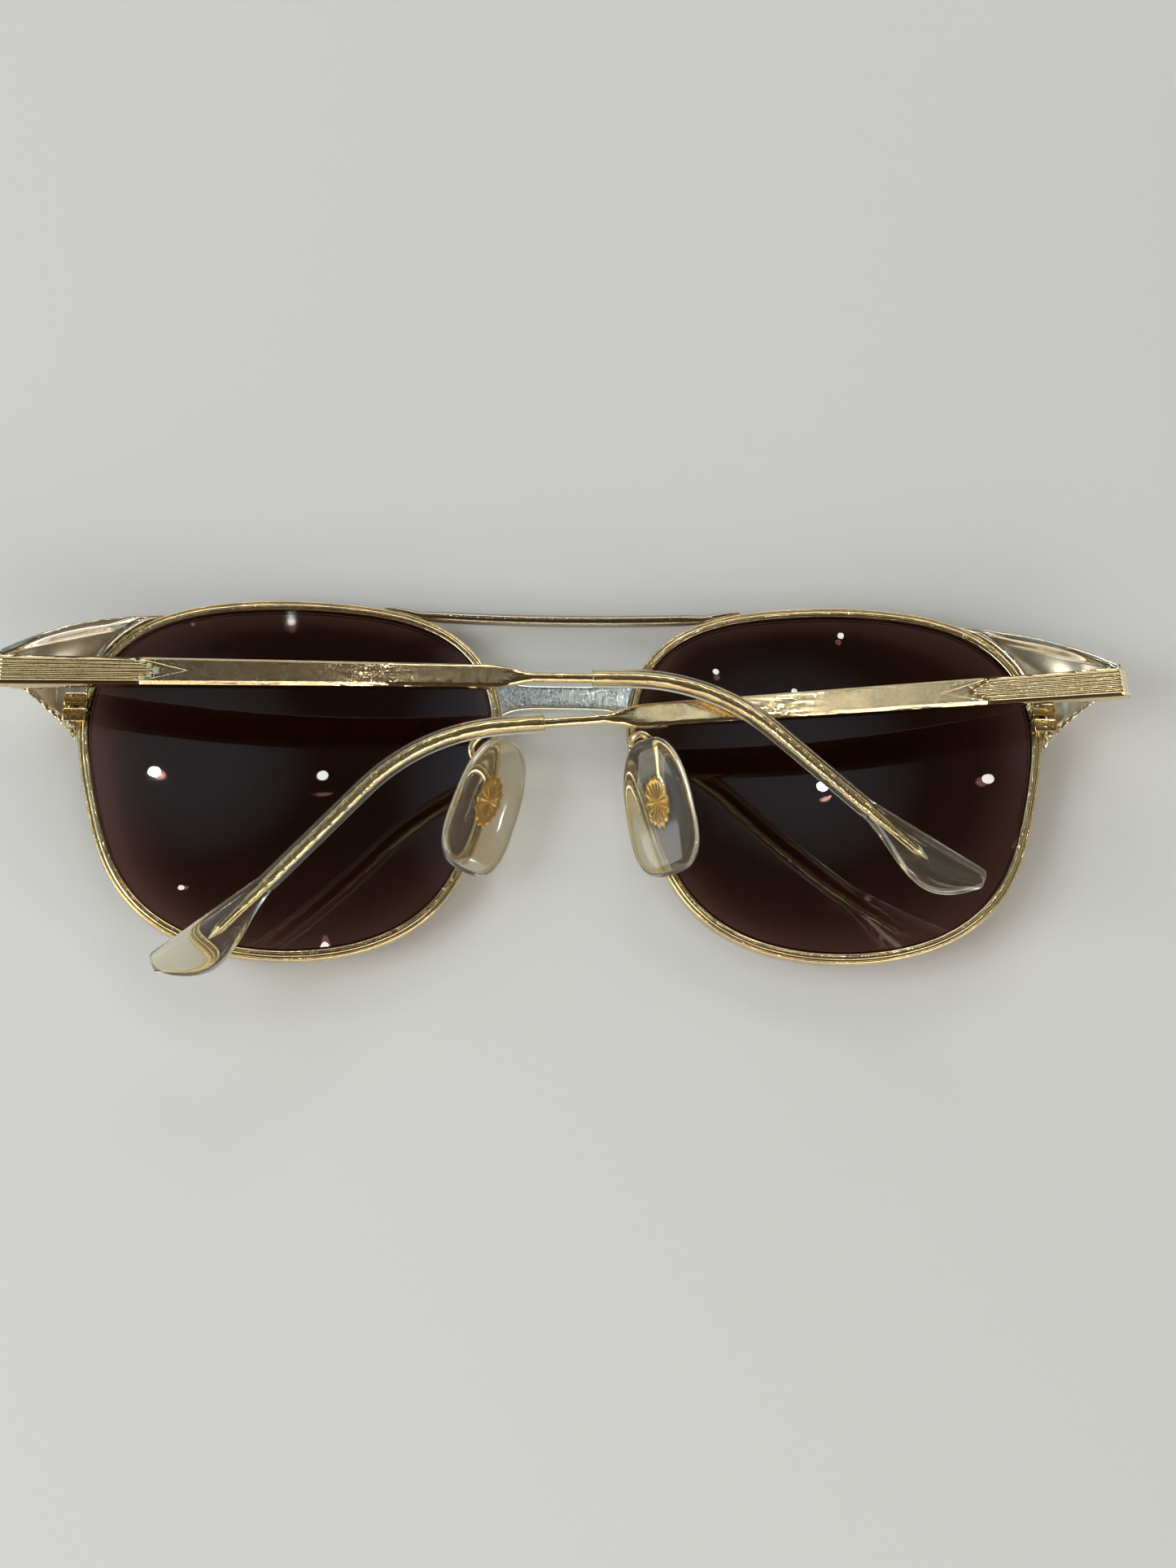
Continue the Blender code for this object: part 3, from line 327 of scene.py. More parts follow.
def resample(points, total):
    """Evenly spaced points along a polyline."""
    points = np.asarray(points, float)
    travelled = np.append(0, np.cumsum(np.linalg.norm(np.diff(points, axis=0), axis=1)))
    wanted = np.linspace(0, travelled[-1], total)
    return np.stack([np.interp(wanted, travelled, column) for column in points.T], -1)


def cut_corners(points, times=2):
    """Chaikin's curve: each corner is replaced by points a quarter along its two sides."""
    points = np.asarray(points, float)
    for _ in range(times):
        first = points[:-1] * 0.75 + points[1:] * 0.25
        second = points[:-1] * 0.25 + points[1:] * 0.75
        inner = np.stack((first, second), 1).reshape(-1, points.shape[1])
        points = np.vstack((points[:1], inner, points[-1:]))
    return points


def rotation(x, y, z):
    return np.array(Euler((x, y, z)).to_matrix())


def lathe(profile, axis, points=32):
    """Rings of (distance along the axis, radius) pairs about X or Y through the origin."""
    along, radius = np.array(profile).T[:, :, None]
    circle = oval(1.0, 1.0, points)
    flat = np.broadcast_to(along, (len(along), points))
    across, over = radius * circle[:, 0], radius * circle[:, 1]
    columns = (flat, across, over) if axis == "X" else (across, flat, over)
    return np.stack(columns, -1)


def tube(path, radius, points=18):
    """Circles of the given radii across a path, in frames turned as little as possible."""
    ahead = np.gradient(path, axis=0)
    ahead /= np.linalg.norm(ahead, axis=1, keepdims=True)
    side = np.cross(ahead[0], (0.3, 0.2, 0.9))
    sides = []
    for direction in ahead:
        side = side - direction * (side @ direction)
        side = side / np.linalg.norm(side)
        sides.append(side)
    sides = np.array(sides)
    over = np.cross(ahead, sides)
    circle = oval(1.0, 1.0, points)
    spokes = circle[:, :1] * sides[:, None] + circle[:, 1:] * over[:, None]
    return path[:, None] + np.reshape(radius, (-1, 1, 1)) * spokes


def eased_slab(profile, low, high, edge, axis):
    """A closed profile of two columns carried along an axis, drawn in at both ends by edge."""
    profile = np.asarray(profile, float)
    middle = (profile.max(0) + profile.min(0)) / 2
    size = (profile.max(0) - profile.min(0)) / 2
    inset = middle + (profile - middle) * (1 - edge / size)
    soft = middle + (profile - middle) * (1 - 0.3 * edge / size)
    rings = []
    for place, ring in ((low, inset), (low + 0.3 * edge, soft), (low + edge, profile),
                        (high - edge, profile), (high - 0.3 * edge, soft), (high, inset)):
        columns = [ring[:, 0], ring[:, 1]]
        columns.insert("XYZ".index(axis), np.full(len(ring), place))
        rings.append(np.stack(columns, -1))
    return np.array(rings)


def rounded_box(low, high, edge):
    """A box with eased edges: a rounded rectangle in X and Z carried along Y."""
    low, high = np.minimum(low, high), np.maximum(low, high)
    half = (high - low) / 2
    middle = (high + low) / 2
    ring = oval(half[0], half[2], 48, 14.0) + middle[[0, 2]]
    return eased_slab(ring, low[1], high[1], edge, "Y")


def catmull(points, steps=10):
    """Catmull-Rom curve through given points: the cubic that passes each with its neighbours' slope."""
    points = np.asarray(points, float)
    padded = np.vstack((2 * points[0] - points[1], points, 2 * points[-1] - points[-2]))
    a, b, c, d = (padded[i:len(padded) - 3 + i, None] for i in range(4))
    t = np.linspace(0, 1, steps, endpoint=False)[None, :, None]
    curve = b * 2 + (c - a) * t + (2 * a - 5 * b + 4 * c - d) * t ** 2 + (3 * b - a - 3 * c + d) * t ** 3
    return np.vstack((curve.reshape(-1, 3) / 2, points[-1:]))


# Lens outline


def lens_curve(turn):
    """Point of the lens shape: its radius is the sum of cosines that passes through LENS_SHAPE."""
    turn = np.asarray(turn, float)
    waves = np.fft.rfft(LENS_SHAPE) / len(LENS_SHAPE)
    order = np.arange(len(waves))
    weight = np.where((order == 0) | (2 * order == len(LENS_SHAPE)), 1, 2)
    phase = turn[..., None] * order
    radius = (weight * (waves.real * np.cos(phase) - waves.imag * np.sin(phase))).sum(-1)
    return np.stack((radius * np.cos(turn), radius * np.sin(turn)), -1)


LENS_LOW, LENS_HIGH = (np.array(corner)[:2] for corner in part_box("right_lens"))
LENS_MIDDLE = (LENS_LOW + LENS_HIGH) / 2
LENS_SIZE = LENS_HIGH - LENS_LOW - 2 * LENS_BEVEL
SHAPE_ROUND = lens_curve(np.linspace(0, TAU, 720))
SHAPE_SIZE = SHAPE_ROUND.max(0) - SHAPE_ROUND.min(0)
SHAPE_MIDDLE = (SHAPE_ROUND.max(0) + SHAPE_ROUND.min(0)) / 2


def outline(turn, offset=0.0):
    """Point of the right lens opening at a polar angle, moved along the edge's outward normal."""
    turn = np.asarray(turn, float)
    step = 1e-4
    scale = LENS_SIZE / SHAPE_SIZE
    along = (lens_curve(turn + step) - lens_curve(turn - step)) * scale
    along /= np.linalg.norm(along, axis=-1, keepdims=True)
    outward = np.stack((along[..., 1], -along[..., 0]), -1)
    return (lens_curve(turn) - SHAPE_MIDDLE) * scale + LENS_MIDDLE + outward * np.asarray(offset)[..., None]


def edge_x(height, temple_side, offset):
    """X of the opening's edge, moved outwards by offset, where it passes a height."""
    start = -1.0 if temple_side else math.pi - 1.0
    points = outline(np.linspace(start, start + 2.0, 400), offset)
    order = np.argsort(points[:, 1])
    return np.interp(height, points[order, 1], points[order, 0])


def top_y(across, offset):
    """Y of the opening's upper edge, moved outwards by offset, at a distance from the middle."""
    points = outline(np.linspace(0.6, 2.9, 400), offset)
    order = np.argsort(points[:, 0])
    return np.interp(across, points[order, 0], points[order, 1])


def angle_at(height):
    """Polar angle at which the opening's temple side passes a height."""
    turns = np.linspace(-0.9, 0.9, 400)
    heights = outline(turns)[:, 1]
    order = np.argsort(heights)
    return float(np.interp(height, heights[order], turns[order]))


def lens_cap(points, s):
    """The lens's curve: r²/2R about the resting point, zero on the edge of the resting flat."""
    rest = LENS_MIDDLE + (-s.rest_in, s.rest_up)
    squared = ((points - rest) ** 2).sum(-1)
    return (squared - s.rest_radius ** 2) / (2 * s.lens_curve)


def front_height(points, s):
    """Lens front: the curve h, eased to flat at the resting point as half of h + root(h² + e²)."""
    cap = lens_cap(points, s)
    return (cap + np.sqrt(cap ** 2 + (0.04 * MM) ** 2)) / 2


# Front


def eyewire_grid(s):
    """C-shaped profile with a band and a ridge at the back, carried round from split to split."""
    w, d = s.rim_width, s.rim_depth
    band = ((0.0, 0.38), (0.06, 0.46), (0.28, 0.50), (0.50, 0.485), (0.60, 0.43))
    ridge = ((0.635, 0.22), (0.67, 0.36), (0.75, 0.42), (0.87, 0.41), (0.97, 0.30))
    front = ((1.0, 0.1), (1.0, -0.1), (0.96, -0.38), (0.80, -0.48), (0.45, -0.50), (0.03, -0.47))
    outer = resample(cut_corners(np.array(band + ridge + front) * (w, d)), 84)
    groove = ((0, -0.44 * d), (0, -s.groove_half), (s.groove_depth, 0), (0, s.groove_half), (0, 0.44 * d))
    profile = np.vstack((outer, resample(groove, 28)))
    half = s.split_gap / LENS_SIZE[0]
    split = angle_at(LENS_MIDDLE[1] + s.split_up)
    turns = np.linspace(split + half, split + TAU - half, 320)
    plan = outline(turns[:, None], profile[None, :, 0])
    height = front_height(outline(turns), s)[:, None] + s.lens_thick / 2 + profile[:, 1]
    return np.dstack((plan, height))


def lens_grid(s):
    """Rings from the resting point out over the front, round the bevelled edge and back in over the back."""
    turns = np.linspace(0, TAU, 144, endpoint=False)
    edge, apex = outline(turns, -s.lens_edge_gap), outline(turns, LENS_BEVEL)
    rest = LENS_MIDDLE + (-s.rest_in, s.rest_up)
    shares = np.linspace(0.04, 1, 16)[:, None, None]
    flat = rest + (edge - rest) * shares
    front = np.dstack((flat, front_height(flat, s)))
    back = np.dstack((flat, lens_cap(flat, s) + s.lens_thick))
    middle = front_height(outline(turns), s) + s.lens_thick / 2
    bevel = [np.column_stack((line, middle + rise)) for line, rise in
             ((edge, -LENS_BEVEL), (apex, 0.0), (edge, LENS_BEVEL))]
    return np.concatenate((front, np.array(bevel), back[::-1]))


def brow_bar_grid(s):
    """Round bar whose middle line hangs between the rims, then lies on them and tapers to its ends."""
    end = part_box("brow_bar")[1].x
    across = end * np.sin(np.linspace(-1, 1, 121) * math.pi / 2)
    reach = np.abs(across)
    radius = s.brow_radius + (s.brow_tip_radius - s.brow_radius) * ease(reach, s.brow_taper_from, end)
    radius = radius * np.sqrt(np.clip(1.04 - (reach / end) ** 24, 0, 1))
    free = LENS_HIGH[1] - LENS_BEVEL - s.brow_below_top + s.brow_rise * (across / end) ** 2
    seat = top_y(reach, s.rim_width) + radius + SEAT_GAP
    up = np.where(reach > LENS_MIDDLE[0] - LENS_SIZE[0] / 2, np.maximum(free, seat), free)
    back = s.brow_low + s.brow_back * (across / end) ** 2
    section = oval(1.0, 1.0, 24)
    y = up[:, None] + radius[:, None] * section[:, 0]
    z = back[:, None] + radius[:, None] * section[:, 1]
    return np.stack((np.broadcast_to(across[:, None], y.shape), y, z), -1)


def bridge_grid(s):
    """Rounded rectangle, flat at the back, carried across from rim to rim and widened at both ends."""
    low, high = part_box("bridge")
    shares = np.sin(np.linspace(-1, 1, 61) * math.pi / 2)[:, None]
    bulge = np.abs(shares) ** 5 * s.bridge_flare
    foot, head = low.y + s.bridge_flare - bulge, high.y - s.bridge_flare * 1.3 + bulge * 1.3
    section = oval(0.5, 0.5, 48, 7.0) + 0.5
    y = foot + (head - foot) * section[:, 0]
    front = low.z + 0.25 * MM * shares ** 2
    z = front + (high.z - front) * section[:, 1]
    x = shares * edge_x(y, False, s.rim_width + SEAT_GAP)
    return np.stack((x, y, z), -1)


def quadratic(first, bend, last, share):
    """Quadratic curve from first to last, drawn towards bend."""
    t = share[:, None]
    return (1 - t) ** 2 * first + 2 * t * (1 - t) * bend + t ** 2 * last


def end_piece_edges(out, up, s):
    """The pressing's four edges in plan: along the rim, along the hinge tip, the foot and the top."""
    rim = outline(s.end_low + (s.end_high - s.end_low) * up, s.rim_width + SEAT_GAP)
    tip_y = HINGE[1] - s.end_tip_low + (s.end_tip_low + s.end_tip_high) * up
    tip = np.column_stack((np.full(len(up), HINGE[0] + s.end_tip), tip_y))
    foot_bend = np.array(((rim[0, 0] + tip[0, 0]) / 2, tip[0, 1]))
    top_bend = rim[-1] + (tip[-1] - rim[-1]) * (0.505, 0.226)
    return rim, tip, quadratic(rim[0], foot_bend, tip[0], out), quadratic(rim[-1], top_bend, tip[-1], out)


def coons(rim, tip, foot, top, out, up):
    """Coons patch: the sum of the surfaces ruled between opposite edges, less the one through the corners."""
    u, v = out[:, None, None], up[None, :, None]
    corners = (1 - u) * ((1 - v) * rim[0] + v * rim[-1]) + u * ((1 - v) * tip[0] + v * tip[-1])
    return (1 - v) * foot[:, None] + v * top[:, None] + (1 - u) * rim + u * tip - corners


def nearest(points, line):
    """Distance of each point of a grid from the nearest point of a line."""
    return np.linalg.norm(points[:, :, None] - line, axis=-1).min(-1)


def border(distance, radius):
    """A raised border: a step and a quarter circle up from the edge, then a cosine down to the floor."""
    rise = 0.5 + 0.5 * np.sqrt(np.clip(1 - (1 - distance / radius) ** 2, 0, 1))
    fall = (1 + np.cos(math.pi * np.clip((distance - radius) / (1.5 * radius), 0, 1))) / 2
    return np.where(distance < radius, rise, fall)


def end_piece_grid(name, s, hinge, temple):
    """Dished pressing: the patch cranked up to the hinge, with borders, a beaded foot and a stepped tip.

    The borders stay low where the end of the opened temple comes to stand.
    """
    out = (1 - np.cos(np.linspace(0, math.pi, 84))) / 2
    up = (1 - np.cos(np.linspace(0, math.pi, 96))) / 2
    edges = end_piece_edges(out, up, s)
    plan = coons(*edges, out, up)
    fine = np.linspace(0, 1, 240)
    from_rim, from_tip, from_foot, from_top = (nearest(plan, edge) for edge in end_piece_edges(fine, fine, s))
    start = front_height(edges[0], s) + s.end_thick
    seat = HINGE[2] - hinge.radius - hinge.play - hinge.front_thick - SEAT_GAP
    upper = ease(up, 0.35, 0.75)
    lead = s.end_lead_left if name == "left" else s.end_lead_right
    crank = ease(out[:, None] + lead * upper, 0.27 - 0.17 * upper, 0.66 + 0.5 * upper)
    floor = start + (seat - start) * crank
    fade = 1 - 0.5 * ease(out, 0.55, 0.9)[:, None]
    beads = 0.65 + 0.35 * np.cos(TAU * plan[..., 0] / s.end_notch)
    joined = 0.2 + 0.8 * ease(out, 0.02, 0.22)[:, None]
    top = border(from_top, s.end_border) * s.end_lip * fade * joined
    ridge = border(from_rim, s.end_ridge) * s.end_lip * ease(up, 0.40, 0.50) * ease(1 - up, 0.0, 0.12)
    foot = border(from_foot, s.end_foot_border) * s.end_foot_lip * beads
    wall = border(from_tip, s.end_foot_border) * s.end_foot_lip * upper
    rough_edge = 0.7 + 0.3 * np.cos(TAU * plan[..., 1] / s.end_notch * 1.4)
    step = np.exp(-((from_tip - s.end_step) / s.end_foot_border) ** 2) * s.end_step_lip * rough_edge * upper
    lip = np.maximum.reduce((top, ridge, foot, wall, step))
    past_bar = plan[..., 0] - HINGE[0] - bar_inner(hinge)
    below_bar = HINGE[1] - temple.offset + temple.height / 2 - plan[..., 1]
    landing = ease(past_bar, -0.6 * MM, -0.3 * MM) * ease(below_bar, -0.6 * MM, -0.3 * MM)
    room = np.clip(HINGE[2] - temple.butt - SEAT_GAP - floor, 0, None)
    lip = lip + (np.minimum(lip, room) - lip) * landing
    thin = np.sqrt(np.clip(np.minimum(from_top, from_foot) / (0.6 * MM), 0, 1))
    back = np.dstack((plan, floor + lip))
    front = np.dstack((plan, floor - s.end_thick * (0.35 + 0.65 * thin)))
    polish = ease(lip, 0.03 * MM, 0.3 * MM)
    masks = {"polish": np.hstack((polish, np.ones_like(polish)))}
    return np.concatenate((back, front[:, ::-1]), 1), masks


def closing_parts(s):
    """Two eased blocks on the split rim, and the screw through them with a round head below."""
    split = LENS_MIDDLE[1] + s.split_up
    edge = outline(angle_at(split), s.rim_width)
    screw_x = edge_x(split, True, s.rim_width) + SEAT_GAP + s.block_width / 2
    low_z = front_height(edge, s) + s.end_thick + s.block_lift
    half = s.split_gap / 2
    blocks = {}
    for label, low in (("upper", split + half), ("lower", split - half - s.block_height)):
        high = low + s.block_height
        seat = edge_x(np.array((low, high)), True, s.rim_width).max() + SEAT_GAP
        inner = seat - s.block_overlap
        corners = np.array(((inner, low, low_z), (seat + s.block_width, high, low_z + s.block_depth)))
        blocks[label] = rounded_box(*corners, s.block_edge)
    foot = split - half - s.block_height - 0.05 * MM
    head = s.screw_head_height
    profile = (
        (foot - head, s.screw_head * 0.15), (foot - head, s.screw_head * 0.7),
        (foot - head * 0.7, s.screw_head), (foot, s.screw_head), (foot, s.screw_radius),
        (split + half + s.block_height * 0.8, s.screw_radius),
    )
    screw = lathe(profile, "Y") + (screw_x, 0, low_z + s.block_depth / 2)
    return blocks, screw


# Hinges


def knuckle_grid(low, high, web_to, s):
    """Barrel with a round bore, whose one half is squared off into a web that ends at Z web_to."""
    turn = np.linspace(0, math.pi, 24)
    away = -math.copysign(s.radius, web_to)
    barrel = np.column_stack((s.radius * np.cos(turn), away * np.sin(turn)))
    web = resample(((-s.radius, 0), (-s.radius / 2, web_to), (s.radius / 2, web_to), (s.radius, 0)), 26)
    outer = np.vstack((barrel, web[1:-1]))
    aim = np.arctan2(outer[:, 1], outer[:, 0])
    bore = s.bore * np.column_stack((np.cos(aim), np.sin(aim)))
    eased = outer * (1 - s.edge / s.radius)
    rings = (
        (bore, low), (eased, low), (outer, low + s.edge),
        (outer, high - s.edge), (eased, high), (bore, high),
    )
    return np.array([np.column_stack((ring[:, 0], np.full(len(ring), y), ring[:, 1])) for ring, y in rings])


def leaf_grid(side, reach, height, low_z, thick, s):
    """Leaf plate beside the hinge axis, eased on its edges."""
    first = np.array((-side * reach, -height / 2, low_z))
    last = np.array((side * s.radius / 2, height / 2, low_z + thick))
    return rounded_box(first, last, s.edge)


def bar_inner(s):
    """The bar's inner face behind the hinge axis."""
    return s.radius + s.leaf_thick / 2 + SEAT_GAP


# Temples


def temple_turn(name, side, s):
    """The temple's own frame at rest: leaning with the hinge axis, and lifted where it is bent."""
    axis = JOINTS[f"{name}_temple_hinge"]["axis"]
    drop = math.asin(abs(axis[0]))
    lift = s.left_lift if name == "left" else 0.0
    return rotation(0, side * lift, side * drop)


def temple_length(name, s):
    return s.left_length if name == "left" else s.right_length


def temple_path(along, s):
    """Straight to the bend, an arc down, then straight: distance out, height and the direction's angle."""
    bent = np.clip((along - s.bend_start) / s.bend_radius, 0, s.bend_angle)
    past = np.maximum(along - s.bend_start - s.bend_radius * s.bend_angle, 0)
    out = np.minimum(along, s.bend_start) + s.bend_radius * np.sin(bent) + past * math.cos(s.bend_angle)
    up = -s.bend_radius * (1 - np.cos(bent)) - past * math.sin(s.bend_angle)
    return out, up - s.offset, bent


def along_temple(stations, across, over, side, s, hinge):
    """Places section points, across in the temple's plane and over out of it, along the path."""
    out, up, bent = (values[:, None] for values in temple_path(stations, s))
    x = out + across * np.sin(bent)
    y = up + across * np.cos(bent)
    return np.stack((-side * x, y, bar_inner(hinge) + s.thick / 2 + over), -1)


def flute_cut(along, across, s):
    """Depth cut from the outer face: a pointed recess, less round-ended ribs, and a notched butt."""
    position = (across + 1) / 2 * s.flutes
    index = np.clip(np.floor(position), 0, s.flutes - 1)
    ends = s.flute_end - s.flute_stagger * np.abs(index - (s.flutes - 1) / 2)
    tip = np.clip((along - ends + s.flute_tip) / s.flute_tip, 0, 1)
    off_middle = np.abs(2 * (position - index) - 1)
    rib = np.sqrt(np.clip(1 - off_middle ** 3 - tip ** 2, 0, 1))
    point = s.arrow_end - (s.arrow_end - s.flute_end + 2 * s.flute_stagger) * np.abs(across)
    recess = ease(point - along, -0.2 * MM, 0.2 * MM) * (1 - 0.6 * ease(along - ends, 0, 0.8 * MM))
    sloping = np.clip(1 - (along + s.butt) / s.butt_bevel, 0, 1)
    ribbed = ease(along, -s.butt + s.butt_bevel, -s.butt + 1.4 * s.butt_bevel)
    cut = recess * (1 - rib) * ribbed
    notch = 0.10 * MM * (1 - np.abs(np.sin(math.pi * position * 1.5))) * (sloping > 0)
    seam = 0.14 * MM * np.exp(-((along + s.butt - 1.15 * s.butt_bevel) / (0.12 * MM)) ** 2)
    depth = s.flute_depth * cut + 0.75 * MM * sloping ** 1.3 + notch + seam
    return depth, ease(cut * ease(ends - along, -0.3 * MM, 0.3 * MM), 0.4, 1.0), (sloping > 0) * 1.0


def temple_bar_grid(name, side, s, hinge):
    """Bevelled bar with a fluted end, blended through its shoulder into a round wire that ends in a point."""
    neck = s.bar_length + s.shoulder
    core_end = temple_length(name, s) - s.core_short
    stations = np.concatenate((
        np.linspace(-s.butt, 0.6 * MM, 24), np.linspace(0.9 * MM, s.flute_end - 4 * MM, 40),
        np.linspace(s.flute_end - 3.8 * MM, s.arrow_end + 1 * MM, 60),
        np.linspace(s.arrow_end + 1.5 * MM, s.bar_length, 40)[:-1], np.linspace(s.bar_length, neck, 28),
        np.linspace(neck, core_end - s.core_point, 70)[1:], core_end - s.core_point * np.linspace(0.9, 0, 6),
    ))[:, None]
    share = np.clip(stations / s.bar_length, 0, 1)
    half = (s.height + (s.end_height - s.height) * share) / 2
    thick = (s.thick + (s.end_thick - s.thick) * ease(share, 0.5, 1.0)) / 2
    face = np.linspace(-1, 1, FACE_POINTS)
    flat = half - s.bevel
    ones = np.ones_like(half)
    over_edge = ((flat, thick), (half * 0.985, thick * 0.62), (half, thick * 0.40), (half, -thick * 0.55),
                 (half * 0.97, -thick * 0.9), (half * 0.9, -thick))
    back = np.linspace(0.8, -0.8, 9)
    down, again = over_edge[1:], over_edge[:0:-1]
    across = np.hstack((flat * face, *[y for y, _ in down], half * back, *[-y for y, _ in again]))
    over = np.hstack((
        thick * np.ones_like(face), *[z * ones for _, z in down],
        -thick * np.ones_like(back), *[z * ones for _, z in again],
    ))
    depth, groove, bright = flute_cut(stations, face[None], s)
    cut = np.zeros_like(over)
    cut[:, :FACE_POINTS] = depth
    butt = 0.75 * MM * np.clip(1 - (stations + s.butt) / s.butt_bevel, 0, 1) ** 1.3
    cut[:, FACE_POINTS:] = np.where(over[:, FACE_POINTS:] > 0, butt, 0)
    turn = np.concatenate((
        np.linspace(-0.9, 0.9, FACE_POINTS), np.linspace(1.0, 2.1, 5),
        np.linspace(2.3, TAU - 2.3, 9), np.linspace(4.18, 5.28, 5),
    ))
    wire = ease(stations, s.bar_length - 1 * MM, neck)
    taper = 1 - 0.8 * ease(stations, core_end - s.core_point, core_end)
    round_across = s.core_radius * taper * np.sin(turn)
    round_over = s.core_radius * taper * np.cos(turn)
    across = across * (1 - wire) + round_across * wire
    over = (over - cut) * (1 - wire) + round_over * wire
    on_face = {
        "flat": 1 - ease(stations, s.bar_length - 1 * MM, s.bar_length + 3 * MM),
        "groove": groove,
        "bright": bright,
        "ribs": ease(s.flute_end + 0.5 * MM - stations, 0, 1.5 * MM),
    }
    masks = {mask: np.zeros_like(over) for mask in on_face}
    for mask, values in on_face.items():
        masks[mask][:, :FACE_POINTS] = values
    return along_temple(stations[:, 0], across, over, side, s, hinge), masks


def paddle_sides(share, s):
    """A slanted teardrop: one side swells straight, the other eases out early, and both meet."""
    end = np.clip((share - 0.9) / 0.1, 0, 1)
    above = s.tip_radius + s.paddle_above * share
    above = above - (s.tip_radius + s.paddle_above - s.paddle_point) * end ** 3
    end = np.clip((share - 0.62) / 0.38, 0, 1)
    below = s.tip_radius + s.paddle_below * ease(share, 0.0, 0.62)
    below = below - (s.tip_radius + s.paddle_below + s.paddle_point) * end ** 2.4
    return above, below


def temple_tip_grid(name, side, s, hinge):
    """Tube shrunk onto the core: rings along its bore, round its mouth and out to the paddle."""
    bore = s.core_radius - 0.02 * MM
    whole = temple_length(name, s)
    core_end = whole - s.core_short
    inside = np.linspace(core_end - s.core_point, s.tip_start, 70)
    straight = np.linspace(s.tip_start + 0.3 * MM, whole - s.paddle, 70)
    shares = np.sin(np.linspace(0, 1, 48) * math.pi / 2)[1:]
    above, below = paddle_sides(shares, s)
    wide = np.maximum((above + below) / 2, 0.12 * MM)
    thick = np.minimum(s.tip_radius + (s.paddle_thick - s.tip_radius) * shares, 0.75 * wide)
    stations = np.concatenate((
        (core_end + 0.05 * MM, core_end), inside, (s.tip_start, s.tip_start + 0.08 * MM), straight,
        whole - s.paddle * (1 - shares),
    ))
    lead = np.array((bore * 0.05, bore * 0.2))
    mouth = s.tip_radius * np.array((0.90, 0.97))
    before = np.concatenate((lead, np.full(len(inside), bore), mouth, np.full(len(straight), s.tip_radius)))
    half, deep = (np.concatenate((before, values))[:, None] for values in (wide, thick))
    shift = np.concatenate((np.zeros(len(before)), (above - below) / 2))[:, None]
    section = oval(1.0, 1.0, 40)
    return along_temple(stations, half * section[:, 0] + shift, deep * section[:, 1], side, s, hinge)


# Nose pads


def pad_turn(name):
    """The pad's own frame: its X axis lies along the pin on which it rocks."""
    axis = JOINTS[f"{name}_pad_rock"]["axis"]
    return rotation(0, -math.asin(axis[2]), math.atan2(axis[1], axis[0]))


def nose_pad_grid(s):
    """Egg-shaped pad: rings drawn in by a root of the cosine from the back's middle round to the front's."""
    swing = np.linspace(-1, 1, 33) * math.pi / 2 * 0.985
    inward = np.cos(swing) ** np.where(swing < 0, 0.30, 0.52)
    rise = np.where(swing < 0, 0.38 * np.sin(swing), 0.62 * np.sin(swing))
    height = s.back + s.thick * (0.38 + rise)
    ring = oval(1.0, 1.0, 72, s.power)
    turn = np.linspace(0, TAU, 72, endpoint=False)
    across = ring[:, 0] * s.width / 2 * (1 - s.taper * np.sin(turn))
    up = ring[:, 1] * s.height / 2
    x = inward[:, None] * across
    y = inward[:, None] * up - s.drop
    return np.stack((x, y, np.broadcast_to(height[:, None], x.shape)), -1)


def pad_insert_grids(s):
    """Scalloped oval plate with raised rays, and a round-ended lug with a hole below it."""
    turn = np.linspace(0, TAU, 168, endpoint=False)
    edge = 1 + 0.05 * np.cos(s.scallops * turn)
    oval_ring = np.stack((s.insert_width / 2 * np.cos(turn), s.insert_height / 2 * np.sin(turn)), -1)
    top = s.back + s.insert_depth
    shares = np.concatenate((np.linspace(0.04, 0.97, 12), (1.0, 1.0), np.linspace(0.97, 0.04, 5)))
    swell = np.sin(math.pi * np.clip(shares / 0.97, 0, 1)) ** 2
    rays = 0.07 * MM * np.cos(s.scallops * turn) * swell[:, None]
    rim = 0.09 * MM * np.exp(-((shares - 0.86) / 0.07) ** 2)[:, None]
    foot = top - s.insert_thick
    level = np.concatenate((np.full(12, top), (top - 0.08 * MM, foot + 0.08 * MM), np.full(5, foot)))
    face = (np.arange(len(shares)) < 12)[:, None]
    z = level[:, None] + np.where(face, rays + rim - 0.05 * MM, 0)
    flat = shares[:, None, None] * edge[:, None] * oval_ring
    plate = np.dstack((flat, z))
    half_turn = np.linspace(math.pi, TAU, 24)
    tab = s.lug_radius * np.column_stack((np.cos(half_turn), np.sin(half_turn)))
    lug, middle = s.lug_radius, top - s.insert_thick / 2
    root = resample(((lug, 0), (lug, middle), (-lug, middle), (-lug, 0)), 26)[1:-1]
    return plate, eased_slab(np.vstack((tab, root)), -s.lug_half, s.lug_half, 0.1 * MM, "X")


def pad_box_grid(s):
    """U-shaped profile carried along the pad, with eased ends."""
    inner = s.lug_half + s.ear_gap
    outer = inner + s.ear
    floor = -s.lug_radius - s.ear_gap
    top = s.lug_radius * 0.75
    shell = ((-outer, top), (-outer, floor - s.ear), (outer, floor - s.ear), (outer, top))
    hollow = ((inner, top), (inner, floor), (-inner, floor), (-inner, top))
    profile = np.vstack((resample(cut_corners(shell), 40), resample(cut_corners(hollow), 40)))
    return eased_slab(profile, -s.box_half, s.box_half, 0.08 * MM, "Y")


